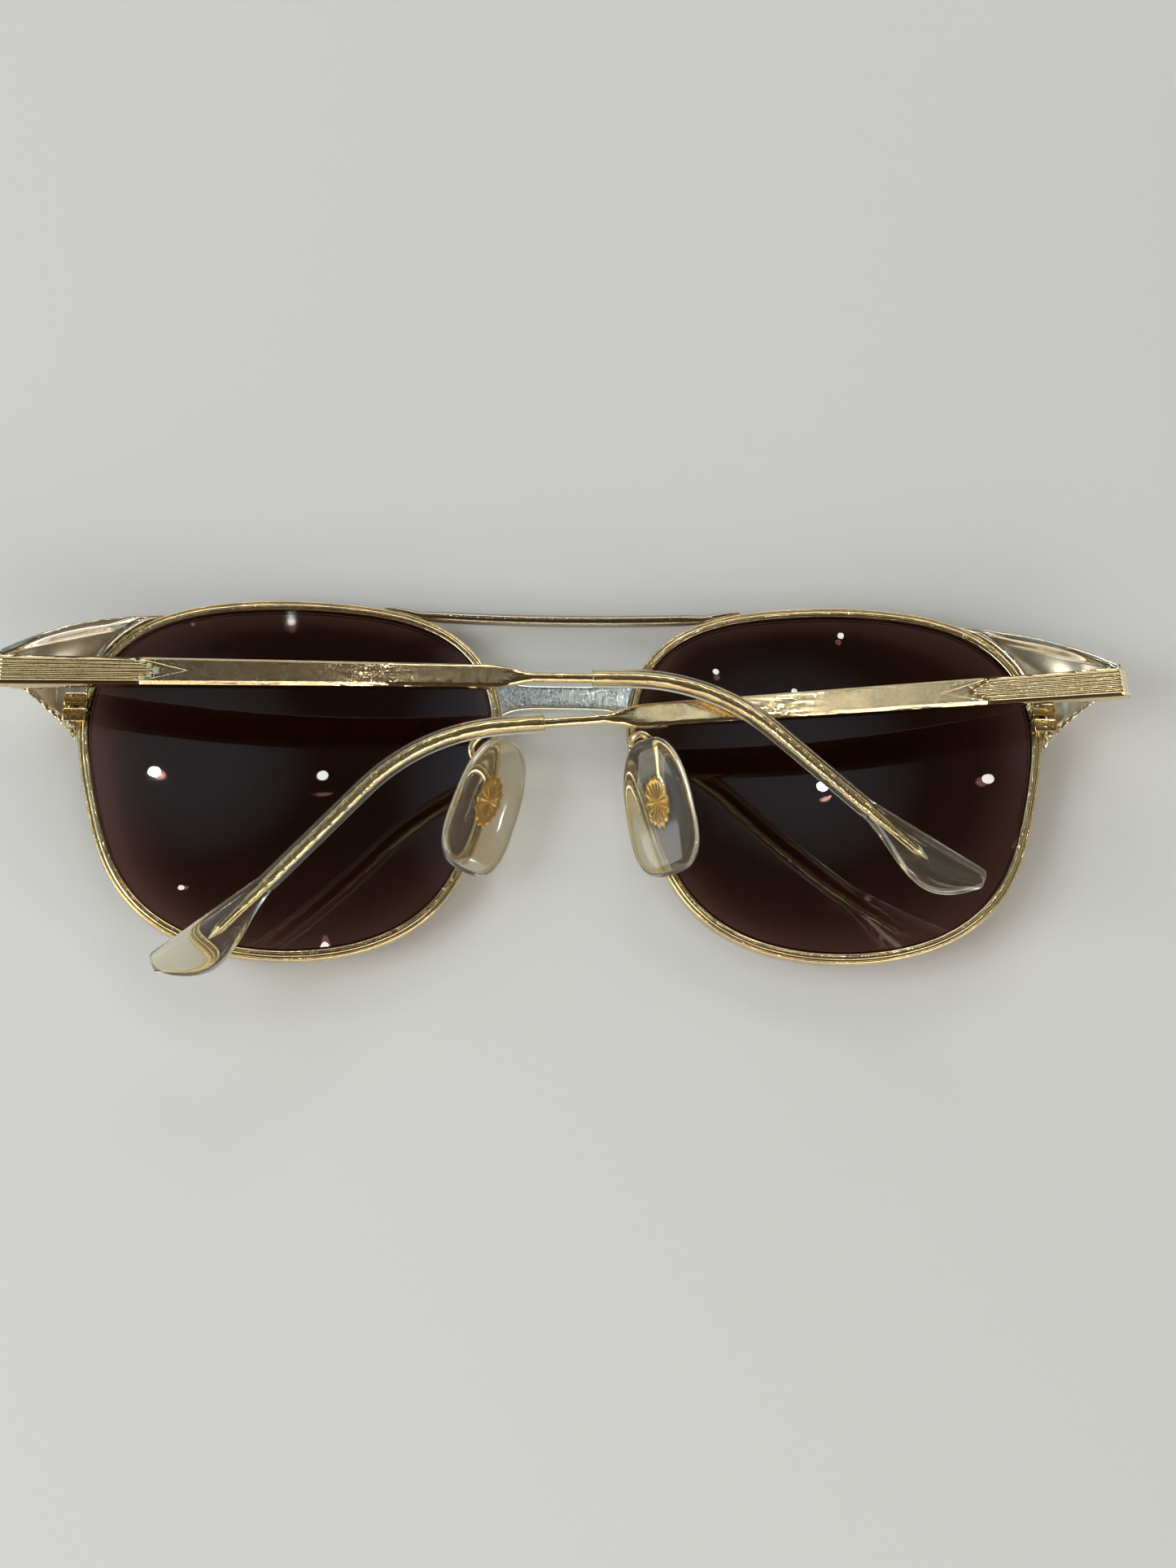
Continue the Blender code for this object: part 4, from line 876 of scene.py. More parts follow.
def pad_arm_grid(name, side, s, front):
    """Wire from a flared foot on the rim, looped outwards, into the top of the pad box."""
    place = np.array(JOINTS[f"{name}_pad_rock"]["pos_m"])
    turn = pad_turn(name)
    up = LENS_MIDDLE[1] + s.arm_up
    rim_x = float(edge_x(up, False, front.rim_width / 2))
    rim_back = front_height(np.array((rim_x, up)), front) + front.lens_thick / 2 + front.rim_depth / 2
    level = (-s.lug_radius - s.ear_gap - s.ear / 2) * 0.9
    lead, entry = (place + turn @ (0, s.box_half + gap, level) for gap in (s.arm_lead, 0.0))
    route = catmull((
        (side * rim_x, up, rim_back - 0.1 * MM),
        (side * rim_x, up, rim_back + s.arm_rise * 0.6),
        (side * (rim_x + s.arm_loop_out * 0.45), up + 0.3 * MM, rim_back + s.arm_rise),
        (side * (rim_x + s.arm_loop_out), LENS_MIDDLE[1] + s.arm_loop_up, rim_back + s.arm_rise * 0.85),
        lead,
        entry,
    ))
    foot = 1 + 0.7 * np.exp(-np.linalg.norm(route - route[0], axis=1) / (0.35 * MM))
    return tube(route, s.arm_radius * foot)


# Meshes


def grid_faces(rings, points, closed):
    """Quads between neighbouring rings; an open row of rings is closed by strips across its two end rings."""
    index = np.arange(rings * points).reshape(rings, points)
    around = np.hstack((index, index[:, :1]))
    if closed:
        around = np.vstack((around, around[:1]))
    quads = np.stack((around[:-1, :-1], around[:-1, 1:], around[1:, 1:], around[1:, :-1]), -1).reshape(-1, 4)
    if closed:
        return quads
    rung = np.arange(points // 2 - 1)
    strip = np.stack((rung, rung + 1, points - 2 - rung, points - 1 - rung), -1)
    return np.vstack((quads, index[0][strip][:, ::-1], index[-1][strip]))


def face_outwards(points, faces):
    """Turns all faces round if the volume under them is negative."""
    a, b, c, d = (points[faces[:, i]] for i in range(4))
    volume = (np.cross(b - a, c - a) * a).sum() + (np.cross(c - a, d - a) * a).sum()
    return faces[:, ::-1] if volume < 0 else faces


def new_mesh(name, grids, masks=None, closed=()):
    """One mesh from one or more grids of rings, with masks as point attributes."""
    points, faces, start = [], [], 0
    for number, grid in enumerate(grids):
        flat = grid.reshape(-1, 3)
        quads = face_outwards(flat, grid_faces(*grid.shape[:2], number in closed))
        points.append(flat)
        faces.append(quads + start)
        start += len(flat)
    mesh = bpy.data.meshes.new(name)
    mesh.from_pydata(np.vstack(points).tolist(), [], np.vstack(faces).tolist())
    for mask, values in (masks or {}).items():
        data = mesh.attributes.new(mask, "FLOAT", "POINT").data
        data.foreach_set("value", values.astype(np.float32).ravel())
    mesh.shade_smooth()
    mesh.set_sharp_from_angle(angle=math.radians(38))
    return mesh


def add_piece(name, mesh, material, body, node):
    """Puts a mesh into the scene as the piece that stands for a node of the frame."""
    mesh.materials.append(material)
    piece = bpy.data.objects.new(name, mesh)
    bpy.context.scene.collection.objects.link(piece)
    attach(piece, body)
    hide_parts(node)


# Finishes


def add_node(tree, kind, values=None, **settings):
    """A node with its settings, and its inputs set to values or joined to sockets."""
    node = tree.nodes.new(kind)
    for key, value in settings.items():
        setattr(node, key, value)
    for key, value in (values or {}).items():
        if isinstance(value, bpy.types.NodeSocket):
            tree.links.new(value, node.inputs[key])
        else:
            node.inputs[key].default_value = value
    return node


def maths(tree, operation, first, second=0.0):
    return add_node(tree, "ShaderNodeMath", {0: first, 1: second}, operation=operation).outputs[0]


def blend_colours(tree, share, first, second, mode="MIX"):
    values = {0: share, 6: first, 7: second}
    return add_node(tree, "ShaderNodeMix", values, data_type="RGBA", blend_type=mode).outputs[2]


def noise(tree, vector, scale, detail=3.0, rough=0.55):
    values = {"Vector": vector, "Scale": scale, "Detail": detail, "Roughness": rough}
    return add_node(tree, "ShaderNodeTexNoise", values).outputs["Fac"]


def between(tree, value, low, high, start=0.0, end=1.0):
    """Maps low to high onto start to end, and clamps."""
    values = {"Value": value, "From Min": low, "From Max": high, "To Min": start, "To Max": end}
    return add_node(tree, "ShaderNodeMapRange", values).outputs["Result"]


def attribute(tree, name):
    return add_node(tree, "ShaderNodeAttribute", attribute_name=name).outputs["Fac"]


def new_group(name, inputs, outputs):
    """An empty node group with these sockets, and its two end nodes' sockets."""
    group = bpy.data.node_groups.new(name, "ShaderNodeTree")
    for direction, sockets in (("INPUT", inputs), ("OUTPUT", outputs)):
        for socket, kind in sockets.items():
            group.interface.new_socket(name=socket, in_out=direction, socket_type=f"NodeSocket{kind}")
    start, end = group.nodes.new("NodeGroupInput"), group.nodes.new("NodeGroupOutput")
    return group, start.outputs, end.inputs


def plating_group():
    """Plating that has worn thin in patches, with fine dark pits and shallow dents."""
    name = "worn plating"
    if name in bpy.data.node_groups:
        return bpy.data.node_groups[name]
    inputs = {
        "Vector": "Vector", "Gold": "Color", "Worn": "Color",
        "Wear": "Float", "Pits": "Float", "Dents": "Float",
    }
    outputs = {"Color": "Color", "Roughness": "Float", "Height": "Float"}
    tree, given, made = new_group(name, inputs, outputs)
    patches = between(tree, noise(tree, given["Vector"], 240.0, 5.0, 0.65), 0.44, 0.68)
    patches = maths(tree, "MULTIPLY", patches, given["Wear"])
    pits = between(tree, noise(tree, given["Vector"], 3000.0, 2.0), 0.54, 0.72)
    pits = maths(tree, "MULTIPLY", pits, given["Pits"])
    dents = noise(tree, given["Vector"], given["Dents"], 2.0, 0.4)
    plate = blend_colours(tree, patches, given["Gold"], given["Worn"])
    shade = between(tree, pits, 0.0, 1.0, 1.0, 0.6)
    plate = blend_colours(tree, 1.0, plate, shade, "MULTIPLY")
    rough = between(tree, patches, 0.0, 1.0, 0.06, 0.15)
    rough = maths(tree, "ADD", rough, maths(tree, "MULTIPLY", pits, 0.07))
    height = maths(tree, "SUBTRACT", dents, maths(tree, "MULTIPLY", pits, 0.25))
    for socket, value in (("Color", plate), ("Roughness", rough), ("Height", height)):
        tree.links.new(value, made[socket])
    return tree


def smudge_group():
    """Roughness of a handled gloss surface: soft smears and fine specks of dust."""
    name = "smudges"
    if name in bpy.data.node_groups:
        return bpy.data.node_groups[name]
    inputs = {"Vector": "Vector", "Clean": "Float", "Smeared": "Float"}
    tree, given, made = new_group(name, inputs, {"Roughness": "Float"})
    smears = between(tree, noise(tree, given["Vector"], 70.0, 4.0, 0.6), 0.50, 0.75)
    dust = between(tree, noise(tree, given["Vector"], 4200.0, 1.0), 0.76, 0.80)
    share = maths(tree, "MAXIMUM", smears, dust)
    spread = maths(tree, "SUBTRACT", given["Smeared"], given["Clean"])
    rough = maths(tree, "ADD", given["Clean"], maths(tree, "MULTIPLY", share, spread))
    tree.links.new(rough, made["Roughness"])
    return tree


def new_material(name):
    """A material with a Principled shader: its tree, shader and Object coordinates."""
    material = bpy.data.materials.new(name)
    material.use_nodes = True
    tree = material.node_tree
    shader = next(node for node in tree.nodes if node.type == "BSDF_PRINCIPLED")
    where = add_node(tree, "ShaderNodeTexCoord").outputs["Object"]
    return material, tree, shader, where


def opaque(colour_value):
    return (*colour_value, 1.0)


def plated(tree, where, gold, worn, wear, pits, dents=720.0):
    """The worn plating's outputs in a material; dents is their number in a metre."""
    group = add_node(tree, "ShaderNodeGroup", node_tree=plating_group())
    values = {"Gold": opaque(gold), "Worn": opaque(worn), "Wear": wear, "Pits": pits, "Dents": dents}
    for key, value in values.items():
        group.inputs[key].default_value = value
    tree.links.new(where, group.inputs["Vector"])
    return group.outputs


def bump(tree, shader, height, strength, distance):
    values = {"Height": height, "Strength": strength, "Distance": distance}
    tree.links.new(add_node(tree, "ShaderNodeBump", values).outputs["Normal"], shader.inputs["Normal"])


def gold_finish(name, gold, worn, wear, pits, dent=0.10 * MM, satin=0.0, dents=720.0):
    """Polished plating with wear; satin adds to its roughness."""
    material, tree, shader, where = new_material(name)
    plate = plated(tree, where, gold, worn, wear, pits, dents)
    shader.inputs["Metallic"].default_value = 1.0
    tree.links.new(plate["Color"], shader.inputs["Base Color"])
    tree.links.new(maths(tree, "ADD", plate["Roughness"], satin), shader.inputs["Roughness"])
    bump(tree, shader, plate["Height"], 0.8, dent)
    return material


def end_piece_finish(name, f):
    """Polished borders round a smooth satin floor, by the polish mask."""
    material, tree, shader, where = new_material(name)
    plate = plated(tree, where, f.pale, f.worn, 0.35, 0.2)
    polish = attribute(tree, "polish")
    tone = between(tree, noise(tree, where, 420.0, 3.0), 0.35, 0.7, 0.0, 0.6)
    floor = blend_colours(tree, tone, opaque(f.sand), opaque(f.pale))
    shader.inputs["Metallic"].default_value = 1.0
    tree.links.new(blend_colours(tree, polish, floor, plate["Color"]), shader.inputs["Base Color"])
    rough = between(tree, polish, 0.0, 1.0, 0.32, 0.12)
    tree.links.new(rough, shader.inputs["Roughness"])
    bump(tree, shader, plate["Height"], 0.5, 0.03 * MM)
    return material


def temple_finish(name, f):
    """Worn, pitted flats and polished ribs, with painted shade in the grooves and a painted highlight on the
    notched end: pale gold with little metal.
    """
    material, tree, shader, where = new_material(name)
    plate = plated(tree, where, f.gold, f.worn, 0.5, 0.8)
    flat, groove, bright = (attribute(tree, mask) for mask in ("flat", "groove", "bright"))
    plain = maths(tree, "MULTIPLY", flat, maths(tree, "SUBTRACT", 1.0, attribute(tree, "ribs")))
    specks = between(tree, noise(tree, where, 4200.0, 2.0, 0.6), 0.42, 0.62)
    specks = maths(tree, "MULTIPLY", specks, plain)
    tone = blend_colours(tree, maths(tree, "MULTIPLY", specks, 0.75), plate["Color"], opaque(f.tarnish))
    # Painted shade: the grooves between the ribs are darkened towards the dark groove colour.
    tone = blend_colours(tree, maths(tree, "MULTIPLY", groove, 0.8), tone, opaque(f.groove_shade))
    # Painted highlight: the notched end takes the pale notch colour, with little metal and more roughness, so
    # that it reads bright under any lamp.
    tone = blend_colours(tree, bright, tone, opaque(f.notch_highlight))
    tree.links.new(tone, shader.inputs["Base Color"])
    tree.links.new(between(tree, bright, 0.0, 1.0, 1.0, 0.1), shader.inputs["Metallic"])
    rough = maths(tree, "ADD", plate["Roughness"], maths(tree, "MULTIPLY", bright, 0.3))
    tree.links.new(rough, shader.inputs["Roughness"])
    stretch = {0: where, 1: (0.2, 1.0, 1.0)}
    drawn = add_node(tree, "ShaderNodeVectorMath", stretch, operation="MULTIPLY").outputs[0]
    calm = between(tree, plain, 0.0, 1.0, 1.0, 0.25)
    waves = maths(tree, "MULTIPLY", noise(tree, drawn, 1300.0, 2.0, 0.4), calm)
    height = maths(tree, "ADD", waves, maths(tree, "MULTIPLY", specks, -0.05))
    bump(tree, shader, height, 0.8, 0.12 * MM)
    return material


def smudged(tree, shader, where, clean, smeared):
    """Joins the smudges to a shader's roughness."""
    group = add_node(tree, "ShaderNodeGroup", node_tree=smudge_group())
    tree.links.new(where, group.inputs["Vector"])
    group.inputs["Clean"].default_value = clean
    group.inputs["Smeared"].default_value = smeared
    tree.links.new(group.outputs["Roughness"], shader.inputs["Roughness"])


def lens_finish(name, f):
    """Dark tinted glass with faint smears."""
    material, tree, shader, where = new_material(name)
    shader.inputs["Base Color"].default_value = opaque(f.glass)
    shader.inputs["Transmission Weight"].default_value = 1.0
    shader.inputs["IOR"].default_value = 1.52
    smudged(tree, shader, where, 0.0, 0.05)
    return material


def plastic_finish(name, f, yellow, clear, haze, coat):
    """Clear plastic, hazy and yellowed with age in soft patches, under a thin smooth coat."""
    material, tree, shader, where = new_material(name)
    shader.inputs["Transmission Weight"].default_value = clear
    shader.inputs["IOR"].default_value = 1.49
    shader.inputs["Coat Weight"].default_value = coat
    shader.inputs["Coat Roughness"].default_value = 0.04
    age = between(tree, noise(tree, where, 160.0, 3.0), 0.35, 0.70, 0.0, yellow)
    tree.links.new(blend_colours(tree, age, opaque(f.plastic), opaque(f.aged)), shader.inputs["Base Color"])
    smudged(tree, shader, where, haze, haze + 0.10)
    return material


def seen(tree, share):
    """The share, for rays from the camera and for those mirrored or let through by the glasses."""
    rays = add_node(tree, "ShaderNodeLightPath").outputs
    straight = maths(tree, "MAXIMUM", rays["Is Camera Ray"], rays["Is Transmission Ray"])
    return maths(tree, "MULTIPLY", maths(tree, "MAXIMUM", straight, rays["Is Glossy Ray"]), share)


def floor_finish(name, floor, backdrop):
    """Plain pale gloss surface with a faint haze, which glows evenly far from the glasses."""
    material, tree, shader, where = new_material(name)
    away = add_node(tree, "ShaderNodeVectorMath", {0: where}, operation="LENGTH").outputs["Value"]
    far = between(tree, away, 0.3, 0.9)
    tree.links.new(blend_colours(tree, far, opaque(floor), BLACK), shader.inputs["Base Color"])
    glow = blend_colours(tree, seen(tree, far), BLACK, opaque(backdrop))
    tree.links.new(glow, shader.inputs["Emission Color"])
    shader.inputs["Emission Strength"].default_value = 1.0
    shader.inputs["Specular IOR Level"].default_value = 0.15
    haze = between(tree, noise(tree, where, 40.0, 3.0), 0.35, 0.65, 0.28, 0.29)
    tree.links.new(haze, shader.inputs["Roughness"])
    return material


# Operators


class SUNGLASSES_OT_eyewires(bpy.types.Operator):
    """Sweeps both eyewires round their lenses"""

    bl_idname = "sunglasses.eyewires"
    bl_label = "Eyewires"

    def execute(self, context):
        s, f = context.scene.sunglasses_front, context.scene.sunglasses_finishes
        gold = gold_finish("eyewire gold", f.gold, f.worn, 0.7, 0.5)
        for name, side in SIDES.items():
            mesh = new_mesh(f"eyewire_{name}", [eyewire_grid(s) * (side, 1, 1)])
            add_piece(f"eyewire_{name}", mesh, gold, "front", f"{name}_eyewire")
        return {"FINISHED"}


class SUNGLASSES_OT_lenses(bpy.types.Operator):
    """Makes both curved lenses with bevelled edges"""

    bl_idname = "sunglasses.lenses"
    bl_label = "Lenses"

    def execute(self, context):
        s, f = context.scene.sunglasses_front, context.scene.sunglasses_finishes
        glass = lens_finish("brown glass", f)
        for name, side in SIDES.items():
            mesh = new_mesh(f"lens_{name}", [lens_grid(s) * (side, 1, 1)])
            add_piece(f"lens_{name}", mesh, glass, "front", f"{name}_lens")
        return {"FINISHED"}


class SUNGLASSES_OT_bridges(bpy.types.Operator):
    """Makes the brow bar and the lower bridge plate"""

    bl_idname = "sunglasses.bridges"
    bl_label = "Bridges"

    def execute(self, context):
        s, f = context.scene.sunglasses_front, context.scene.sunglasses_finishes
        # The brow bar's darker plating colour is painted shade.
        gold = gold_finish("brow bar gold", f.brow_shade, f.tarnish, 0.4, 0.6, 0.05 * MM)
        bar = new_mesh("brow_bar_round", [brow_bar_grid(s)])
        add_piece("brow_bar_round", bar, gold, "front", "brow_bar")
        # The bridge's silvery plating colour is a painted reflection.
        pale = gold_finish("bridge gold", f.bridge_sheen, f.pale, 0.5, 1.0, 0.03 * MM, 0.06, 2200.0)
        plate = new_mesh("bridge_plate", [bridge_grid(s)])
        add_piece("bridge_plate", plate, pale, "front", "bridge")
        return {"FINISHED"}


class SUNGLASSES_OT_end_pieces(bpy.types.Operator):
    """Presses both end pieces from the rim to the hinge"""

    bl_idname = "sunglasses.end_pieces"
    bl_label = "End pieces"

    def execute(self, context):
        s, f = context.scene.sunglasses_front, context.scene.sunglasses_finishes
        pressed = end_piece_finish("end piece gold", f)
        hinge, temple = context.scene.sunglasses_hinge, context.scene.sunglasses_temple
        for name, side in SIDES.items():
            grid, masks = end_piece_grid(name, s, hinge, temple)
            mesh = new_mesh(f"end_piece_{name}", [grid * (side, 1, 1)], masks)
            add_piece(f"end_piece_{name}", mesh, pressed, "front", f"{name}_end_piece")
        return {"FINISHED"}


class SUNGLASSES_OT_closing_blocks(bpy.types.Operator):
    """Makes the blocks that clamp the split rims, and their screws"""

    bl_idname = "sunglasses.closing_blocks"
    bl_label = "Closing blocks"

    def execute(self, context):
        s, f = context.scene.sunglasses_front, context.scene.sunglasses_finishes
        gold = gold_finish("closing block gold", f.gold, f.worn, 0.5, 0.6)
        steel = gold_finish("closing screw steel", f.steel, f.worn, 0.6, 0.4)
        for name, side in SIDES.items():
            blocks, screw = closing_parts(s)
            for label, grid in blocks.items():
                mesh = new_mesh(f"closing_block_{label}_{name}", [grid * (side, 1, 1)])
                add_piece(mesh.name, mesh, gold, "front", f"{name}_closing_block_{label}")
            mesh = new_mesh(f"closing_screw_{name}", [screw * (side, 1, 1)])
            add_piece(mesh.name, mesh, steel, "front", f"{name}_closing_screw")
        return {"FINISHED"}


class SUNGLASSES_OT_hinges(bpy.types.Operator):
    """Makes the hinge leaves on the end pieces and temples, and the hinge screws"""

    bl_idname = "sunglasses.hinges"
    bl_label = "Hinges"

    def execute(self, context):
        s, f = context.scene.sunglasses_hinge, context.scene.sunglasses_finishes
        gold = gold_finish("hinge gold", f.gold, f.worn, 0.5, 0.6)
        steel = gold_finish("hinge screw steel", f.steel, f.worn, 0.6, 0.4)
        half, middle = s.height / 2, s.middle / 2
        floor = -s.radius - s.play - s.front_thick
        strip = bar_inner(s) - SEAT_GAP - s.leaf_thick
        top = half + 0.05 * MM
        profile = (
            (-half + 0.2 * MM, s.screw_radius * 0.3), (-half + 0.2 * MM, s.screw_radius),
            (top, s.screw_radius), (top, s.head_radius), (top + s.head_height * 0.6, s.head_radius),
            (top + s.head_height, s.head_radius * 0.75), (top + s.head_height, s.head_radius * 0.1),
        )
        for name, side in SIDES.items():
            place = HINGE * (side, 1, 1)
            seat = rotation(0, 0, side * math.asin(abs(JOINTS[f"{name}_temple_hinge"]["axis"][0])))
            swing = temple_turn(name, side, context.scene.sunglasses_temple)
            web = floor + s.front_thick / 2
            grids = [
                leaf_grid(side, s.front_leaf, s.height, floor, s.front_thick, s),
                knuckle_grid(-half, -middle - s.play, web, s),
                knuckle_grid(middle + s.play, half, web, s),
            ]
            grids = [grid @ seat.T + place for grid in grids]
            mesh = new_mesh(f"hinge_front_leaf_{name}", grids, closed=(1, 2))
            add_piece(mesh.name, mesh, gold, "front", f"{name}_hinge_front_leaf")
            mesh = new_mesh(f"hinge_screw_{name}", [lathe(profile, "Y") @ seat.T + place])
            add_piece(mesh.name, mesh, steel, "front", f"{name}_hinge_screw")
            grids = [
                leaf_grid(side, s.temple_leaf, s.middle, strip, s.leaf_thick, s),
                knuckle_grid(-middle, middle, strip + s.leaf_thick / 2, s),
            ]
            grids = [grid @ swing.T + place for grid in grids]
            mesh = new_mesh(f"hinge_temple_leaf_{name}", grids, closed=(1,))
            add_piece(mesh.name, mesh, gold, f"{name}_temple", f"{name}_hinge_temple_leaf")
        return {"FINISHED"}


class SUNGLASSES_OT_temples(bpy.types.Operator):
    """Makes both temple bars with their flutes and core wires, and the clear tips"""

    bl_idname = "sunglasses.temples"
    bl_label = "Temples"

    def execute(self, context):
        s, f = context.scene.sunglasses_temple, context.scene.sunglasses_finishes
        hinge = context.scene.sunglasses_hinge
        worn = temple_finish("temple gold", f)
        clear = plastic_finish("tip plastic", f, 0.6, 0.975, 0.10, 0.3)
        for name, side in SIDES.items():
            turn, place = temple_turn(name, side, s), HINGE * (side, 1, 1)
            grid, masks = temple_bar_grid(name, side, s, hinge)
            mesh = new_mesh(f"temple_bar_{name}", [grid @ turn.T + place], masks)
            add_piece(mesh.name, mesh, worn, f"{name}_temple", f"{name}_temple_bar")
            mesh = new_mesh(f"temple_tip_{name}", [temple_tip_grid(name, side, s, hinge) @ turn.T + place])
            add_piece(mesh.name, mesh, clear, f"{name}_temple", f"{name}_temple_tip")
        return {"FINISHED"}


class SUNGLASSES_OT_nose_pads(bpy.types.Operator):
    """Makes the nose pads with their inserts, and the boxes, pins and arms that carry them"""

    bl_idname = "sunglasses.nose_pads"
    bl_label = "Nose pads"

    def execute(self, context):
        s, f = context.scene.sunglasses_pads, context.scene.sunglasses_finishes
        clear = plastic_finish("pad plastic", f, 0.9, 0.97, 0.08, 0.12)
        insert = gold_finish("insert gold", f.insert, f.gold, 0.3, 0.4, 0.03 * MM, 0.22)
        gold = gold_finish("pad arm gold", f.gold, f.worn, 0.5, 0.5)
        steel = gold_finish("pad pin steel", f.steel, f.worn, 0.6, 0.4)
        reach = s.lug_half + s.ear_gap + s.ear + s.pin_proud
        pin = ((-reach, s.pin_radius * 0.2), (-reach, s.pin_radius * 0.9), (-reach + 0.05 * MM, s.pin_radius),
               (reach - 0.05 * MM, s.pin_radius), (reach, s.pin_radius * 0.9), (reach, s.pin_radius * 0.2))
        for name, side in SIDES.items():
            turn, place = pad_turn(name), np.array(JOINTS[f"{name}_pad_rock"]["pos_m"])
            pieces = (
                ("nose_pad", [nose_pad_grid(s)], clear, f"{name}_pad", "clear_plastic"),
                ("pad_insert", pad_insert_grids(s), insert, f"{name}_pad", "gold_plate"),
                ("pad_box", [pad_box_grid(s)], gold, "front", "gold_plate"),
                ("pad_pin", [lathe(pin, "X")], steel, "front", "screw_metal"),
            )
            for label, grids, material, body, slot in pieces:
                mesh = new_mesh(f"{label}_{name}", [grid @ turn.T + place for grid in grids])
                add_piece(mesh.name, mesh, material, body, f"{name}_{label}")
            mesh = new_mesh(f"pad_arm_{name}", [pad_arm_grid(name, side, s, context.scene.sunglasses_front)])
            add_piece(mesh.name, mesh, gold, "front", f"{name}_pad_arm")
        return {"FINISHED"}


def add_lamp(name, place, size, power, tint, shape="RECTANGLE"):
    """An area lamp aimed at the middle of the glasses."""
    data = bpy.data.lights.new(name, "AREA")
    data.shape = shape
    data.size = size[0]
    if shape == "RECTANGLE":
        data.size_y = size[1]
    data.energy = power
    data.color = tint
    lamp = bpy.data.objects.new(name, data)
    lamp.location = place
    lamp.rotation_euler = (-Vector(place)).to_track_quat("-Z", "Y").to_euler()
    bpy.context.scene.collection.objects.link(lamp)


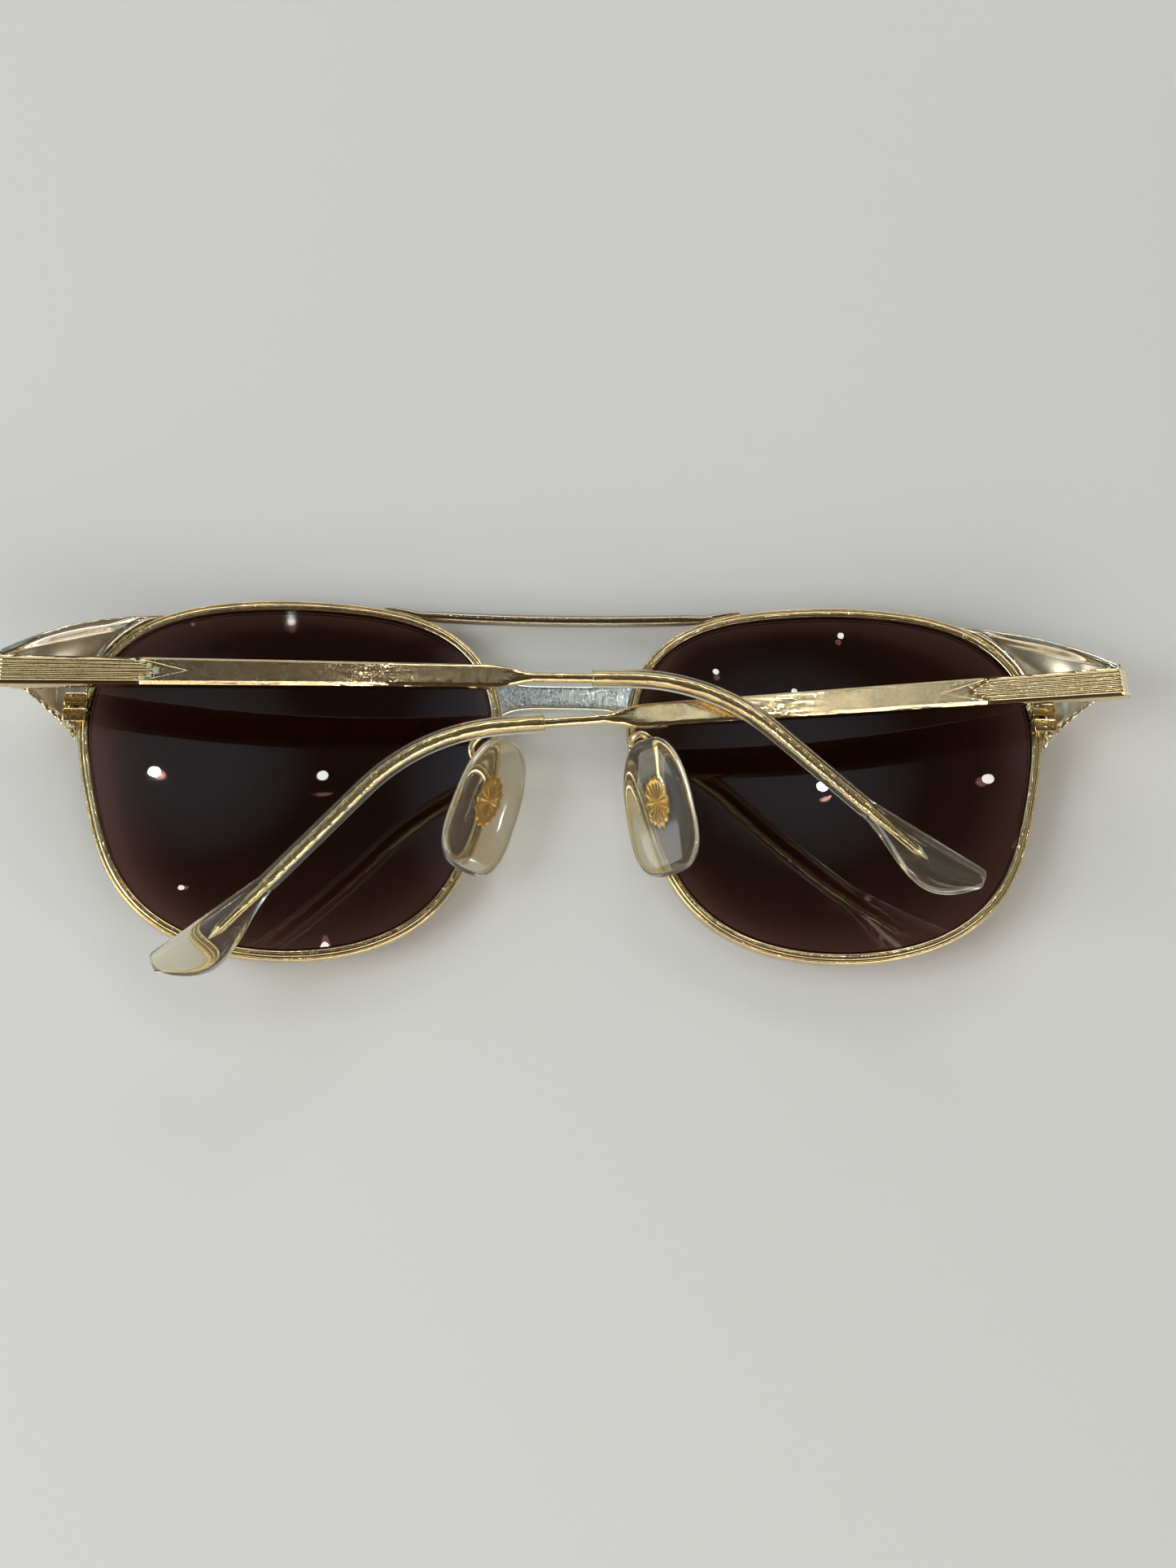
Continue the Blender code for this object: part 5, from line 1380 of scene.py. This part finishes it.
class SUNGLASSES_OT_stage(bpy.types.Operator):
    """Makes the floor, the lamps, the surroundings and the camera"""

    bl_idname = "sunglasses.stage"
    bl_label = "Stage"

    def execute(self, context):
        s = context.scene.sunglasses_stage
        self.make_floor(s)
        self.make_lamps(s)
        self.make_world(context.scene, s)
        self.make_camera(context.scene, s)
        context.scene.view_settings.view_transform = "Standard"
        return {"FINISHED"}

    def make_floor(self, s):
        """A wide plane just below the lenses."""
        reach, drop = 12.0, 0.05 * MM
        around = ((-1, -1), (1, -1), (1, 1), (-1, 1))
        corners = [(x * reach, y * reach, -drop) for x, y in around]
        mesh = bpy.data.meshes.new("floor")
        mesh.from_pydata(corners, [], [(0, 1, 2, 3)])
        mesh.materials.append(floor_finish("pale floor", s.floor, s.backdrop))
        floor = bpy.data.objects.new("floor", mesh)
        bpy.context.scene.collection.objects.link(floor)

    def make_lamps(self, s):
        add_lamp("key lamp", (-0.62, -0.15, 0.52), (0.50, 0.45), s.key, (0.95, 0.98, 1.0))
        add_lamp("fill lamp", (-0.30, -0.75, 0.40), (0.80, 0.50), s.fill, (1.0, 0.90, 0.76))
        add_lamp("near lamp", (0.42, -0.66, 0.36), (0.8, 0.45), s.near_lamp, (1.0, 0.98, 0.95))
        add_lamp("back lamp", (0.05, 0.62, 0.40), (0.60, 0.20), s.back, (1.0, 0.98, 0.95))
        for number, (x, y, across) in enumerate(CEILING_SPOTS):
            power = s.spots * (across / CEILING_SPOTS[0][2]) ** 2 * (1.0 if number else s.first_spot)
            place, size = (x, y, SPOT_HEIGHT), (across, across)
            add_lamp(f"ceiling spot {number + 1}", place, size, power, (1.0, 0.98, 0.94), "DISK")
        for number, turn in enumerate(np.linspace(0, TAU, s.low_spots, endpoint=False)):
            height = RING_HEIGHTS[number % len(RING_HEIGHTS)]
            place = RING_RADIUS * math.cos(turn), RING_RADIUS * math.sin(turn), height
            size = RING_SPOT, RING_SPOT
            add_lamp(f"low spot {number + 1}", place, size, s.low_spot, (1.0, 0.97, 0.92), "DISK")

    def make_world(self, scene, s):
        """Surroundings dim overhead but for two lit patches, with a pale band at the skyline."""
        world = bpy.data.worlds.new("studio")
        world.use_nodes = True
        tree = world.node_tree
        tree.nodes.clear()
        direction = add_node(tree, "ShaderNodeTexCoord").outputs["Generated"]
        parts = add_node(tree, "ShaderNodeSeparateXYZ", {0: direction}).outputs
        far = blend_colours(tree, between(tree, parts["X"], -0.3, 0.3), opaque(s.left), opaque(s.right))
        side = blend_colours(tree, between(tree, parts["Y"], -0.4, 0.4), opaque(s.near), far)
        slant = maths(tree, "ABSOLUTE", maths(tree, "SUBTRACT", parts["X"], -0.02))
        strip = between(tree, slant, 0.20, 0.46, 1.0, 0.45)
        overhead = maths(tree, "MULTIPLY", between(tree, parts["Z"], 0.45, 0.80), strip)
        tone = blend_colours(tree, overhead, side, opaque(s.ceiling))
        for (towards, inner, outer), patch in ((CEILING_GLOW, s.glow), (SIDE_GLOW, s.side_glow)):
            pair = {0: direction, 1: towards}
            facing = add_node(tree, "ShaderNodeVectorMath", pair, operation="DOT_PRODUCT")
            lit = between(tree, facing.outputs["Value"], math.cos(outer), math.cos(inner))
            tone = blend_colours(tree, lit, tone, opaque(patch))
        skyline = seen(tree, between(tree, parts["Z"], 0.16, 0.22, 1.0, 0.0))
        tone = blend_colours(tree, skyline, tone, opaque(s.backdrop))
        light = add_node(tree, "ShaderNodeBackground", {"Color": tone, "Strength": s.world})
        end = add_node(tree, "ShaderNodeOutputWorld")
        tree.links.new(light.outputs[0], end.inputs["Surface"])
        scene.world = world

    def make_camera(self, scene, s):
        data = bpy.data.cameras.new("camera")
        data.sensor_width = 36.0
        data.lens = s.focal
        data.clip_start = 0.01
        camera = bpy.data.objects.new("camera", data)
        camera.location = s.place
        camera.rotation_euler = s.turn
        scene.collection.objects.link(camera)
        scene.camera = camera


class SUNGLASSES_PT_panel(bpy.types.Panel):
    """Sizes, finishes and building steps"""

    bl_idname = "SUNGLASSES_PT_panel"
    bl_label = "Sunglasses"
    bl_space_type = "VIEW_3D"
    bl_region_type = "UI"
    bl_category = "Sunglasses"

    def draw(self, context):
        for step in STEPS:
            self.layout.operator(step.bl_idname)
        for name, group in SETTINGS.items():
            box = self.layout.box()
            box.label(text=group.__doc__)
            for key in group.__annotations__:
                box.prop(getattr(context.scene, name), key)


STEPS = (
    SUNGLASSES_OT_eyewires,
    SUNGLASSES_OT_lenses,
    SUNGLASSES_OT_bridges,
    SUNGLASSES_OT_end_pieces,
    SUNGLASSES_OT_closing_blocks,
    SUNGLASSES_OT_hinges,
    SUNGLASSES_OT_temples,
    SUNGLASSES_OT_nose_pads,
    SUNGLASSES_OT_stage,
)
SETTINGS = {
    "sunglasses_front": FrontSizes,
    "sunglasses_hinge": HingeSizes,
    "sunglasses_temple": TempleSizes,
    "sunglasses_pads": PadSizes,
    "sunglasses_finishes": Finishes,
    "sunglasses_stage": StageSettings,
}


def register():
    for group in (*SETTINGS.values(), *STEPS, SUNGLASSES_PT_panel):
        bpy.utils.register_class(group)
    for name, group in SETTINGS.items():
        setattr(bpy.types.Scene, name, bpy.props.PointerProperty(type=group))


def unregister():
    for name in SETTINGS:
        delattr(bpy.types.Scene, name)
    for group in reversed((*SETTINGS.values(), *STEPS, SUNGLASSES_PT_panel)):
        bpy.utils.unregister_class(group)


def main():
    register()
    bpy.ops.sunglasses.eyewires()
    bpy.ops.sunglasses.lenses()
    bpy.ops.sunglasses.bridges()
    bpy.ops.sunglasses.end_pieces()
    bpy.ops.sunglasses.closing_blocks()
    bpy.ops.sunglasses.hinges()
    bpy.ops.sunglasses.temples()
    bpy.ops.sunglasses.nose_pads()
    bpy.ops.sunglasses.stage()


if __name__ == "__main__":
    main()
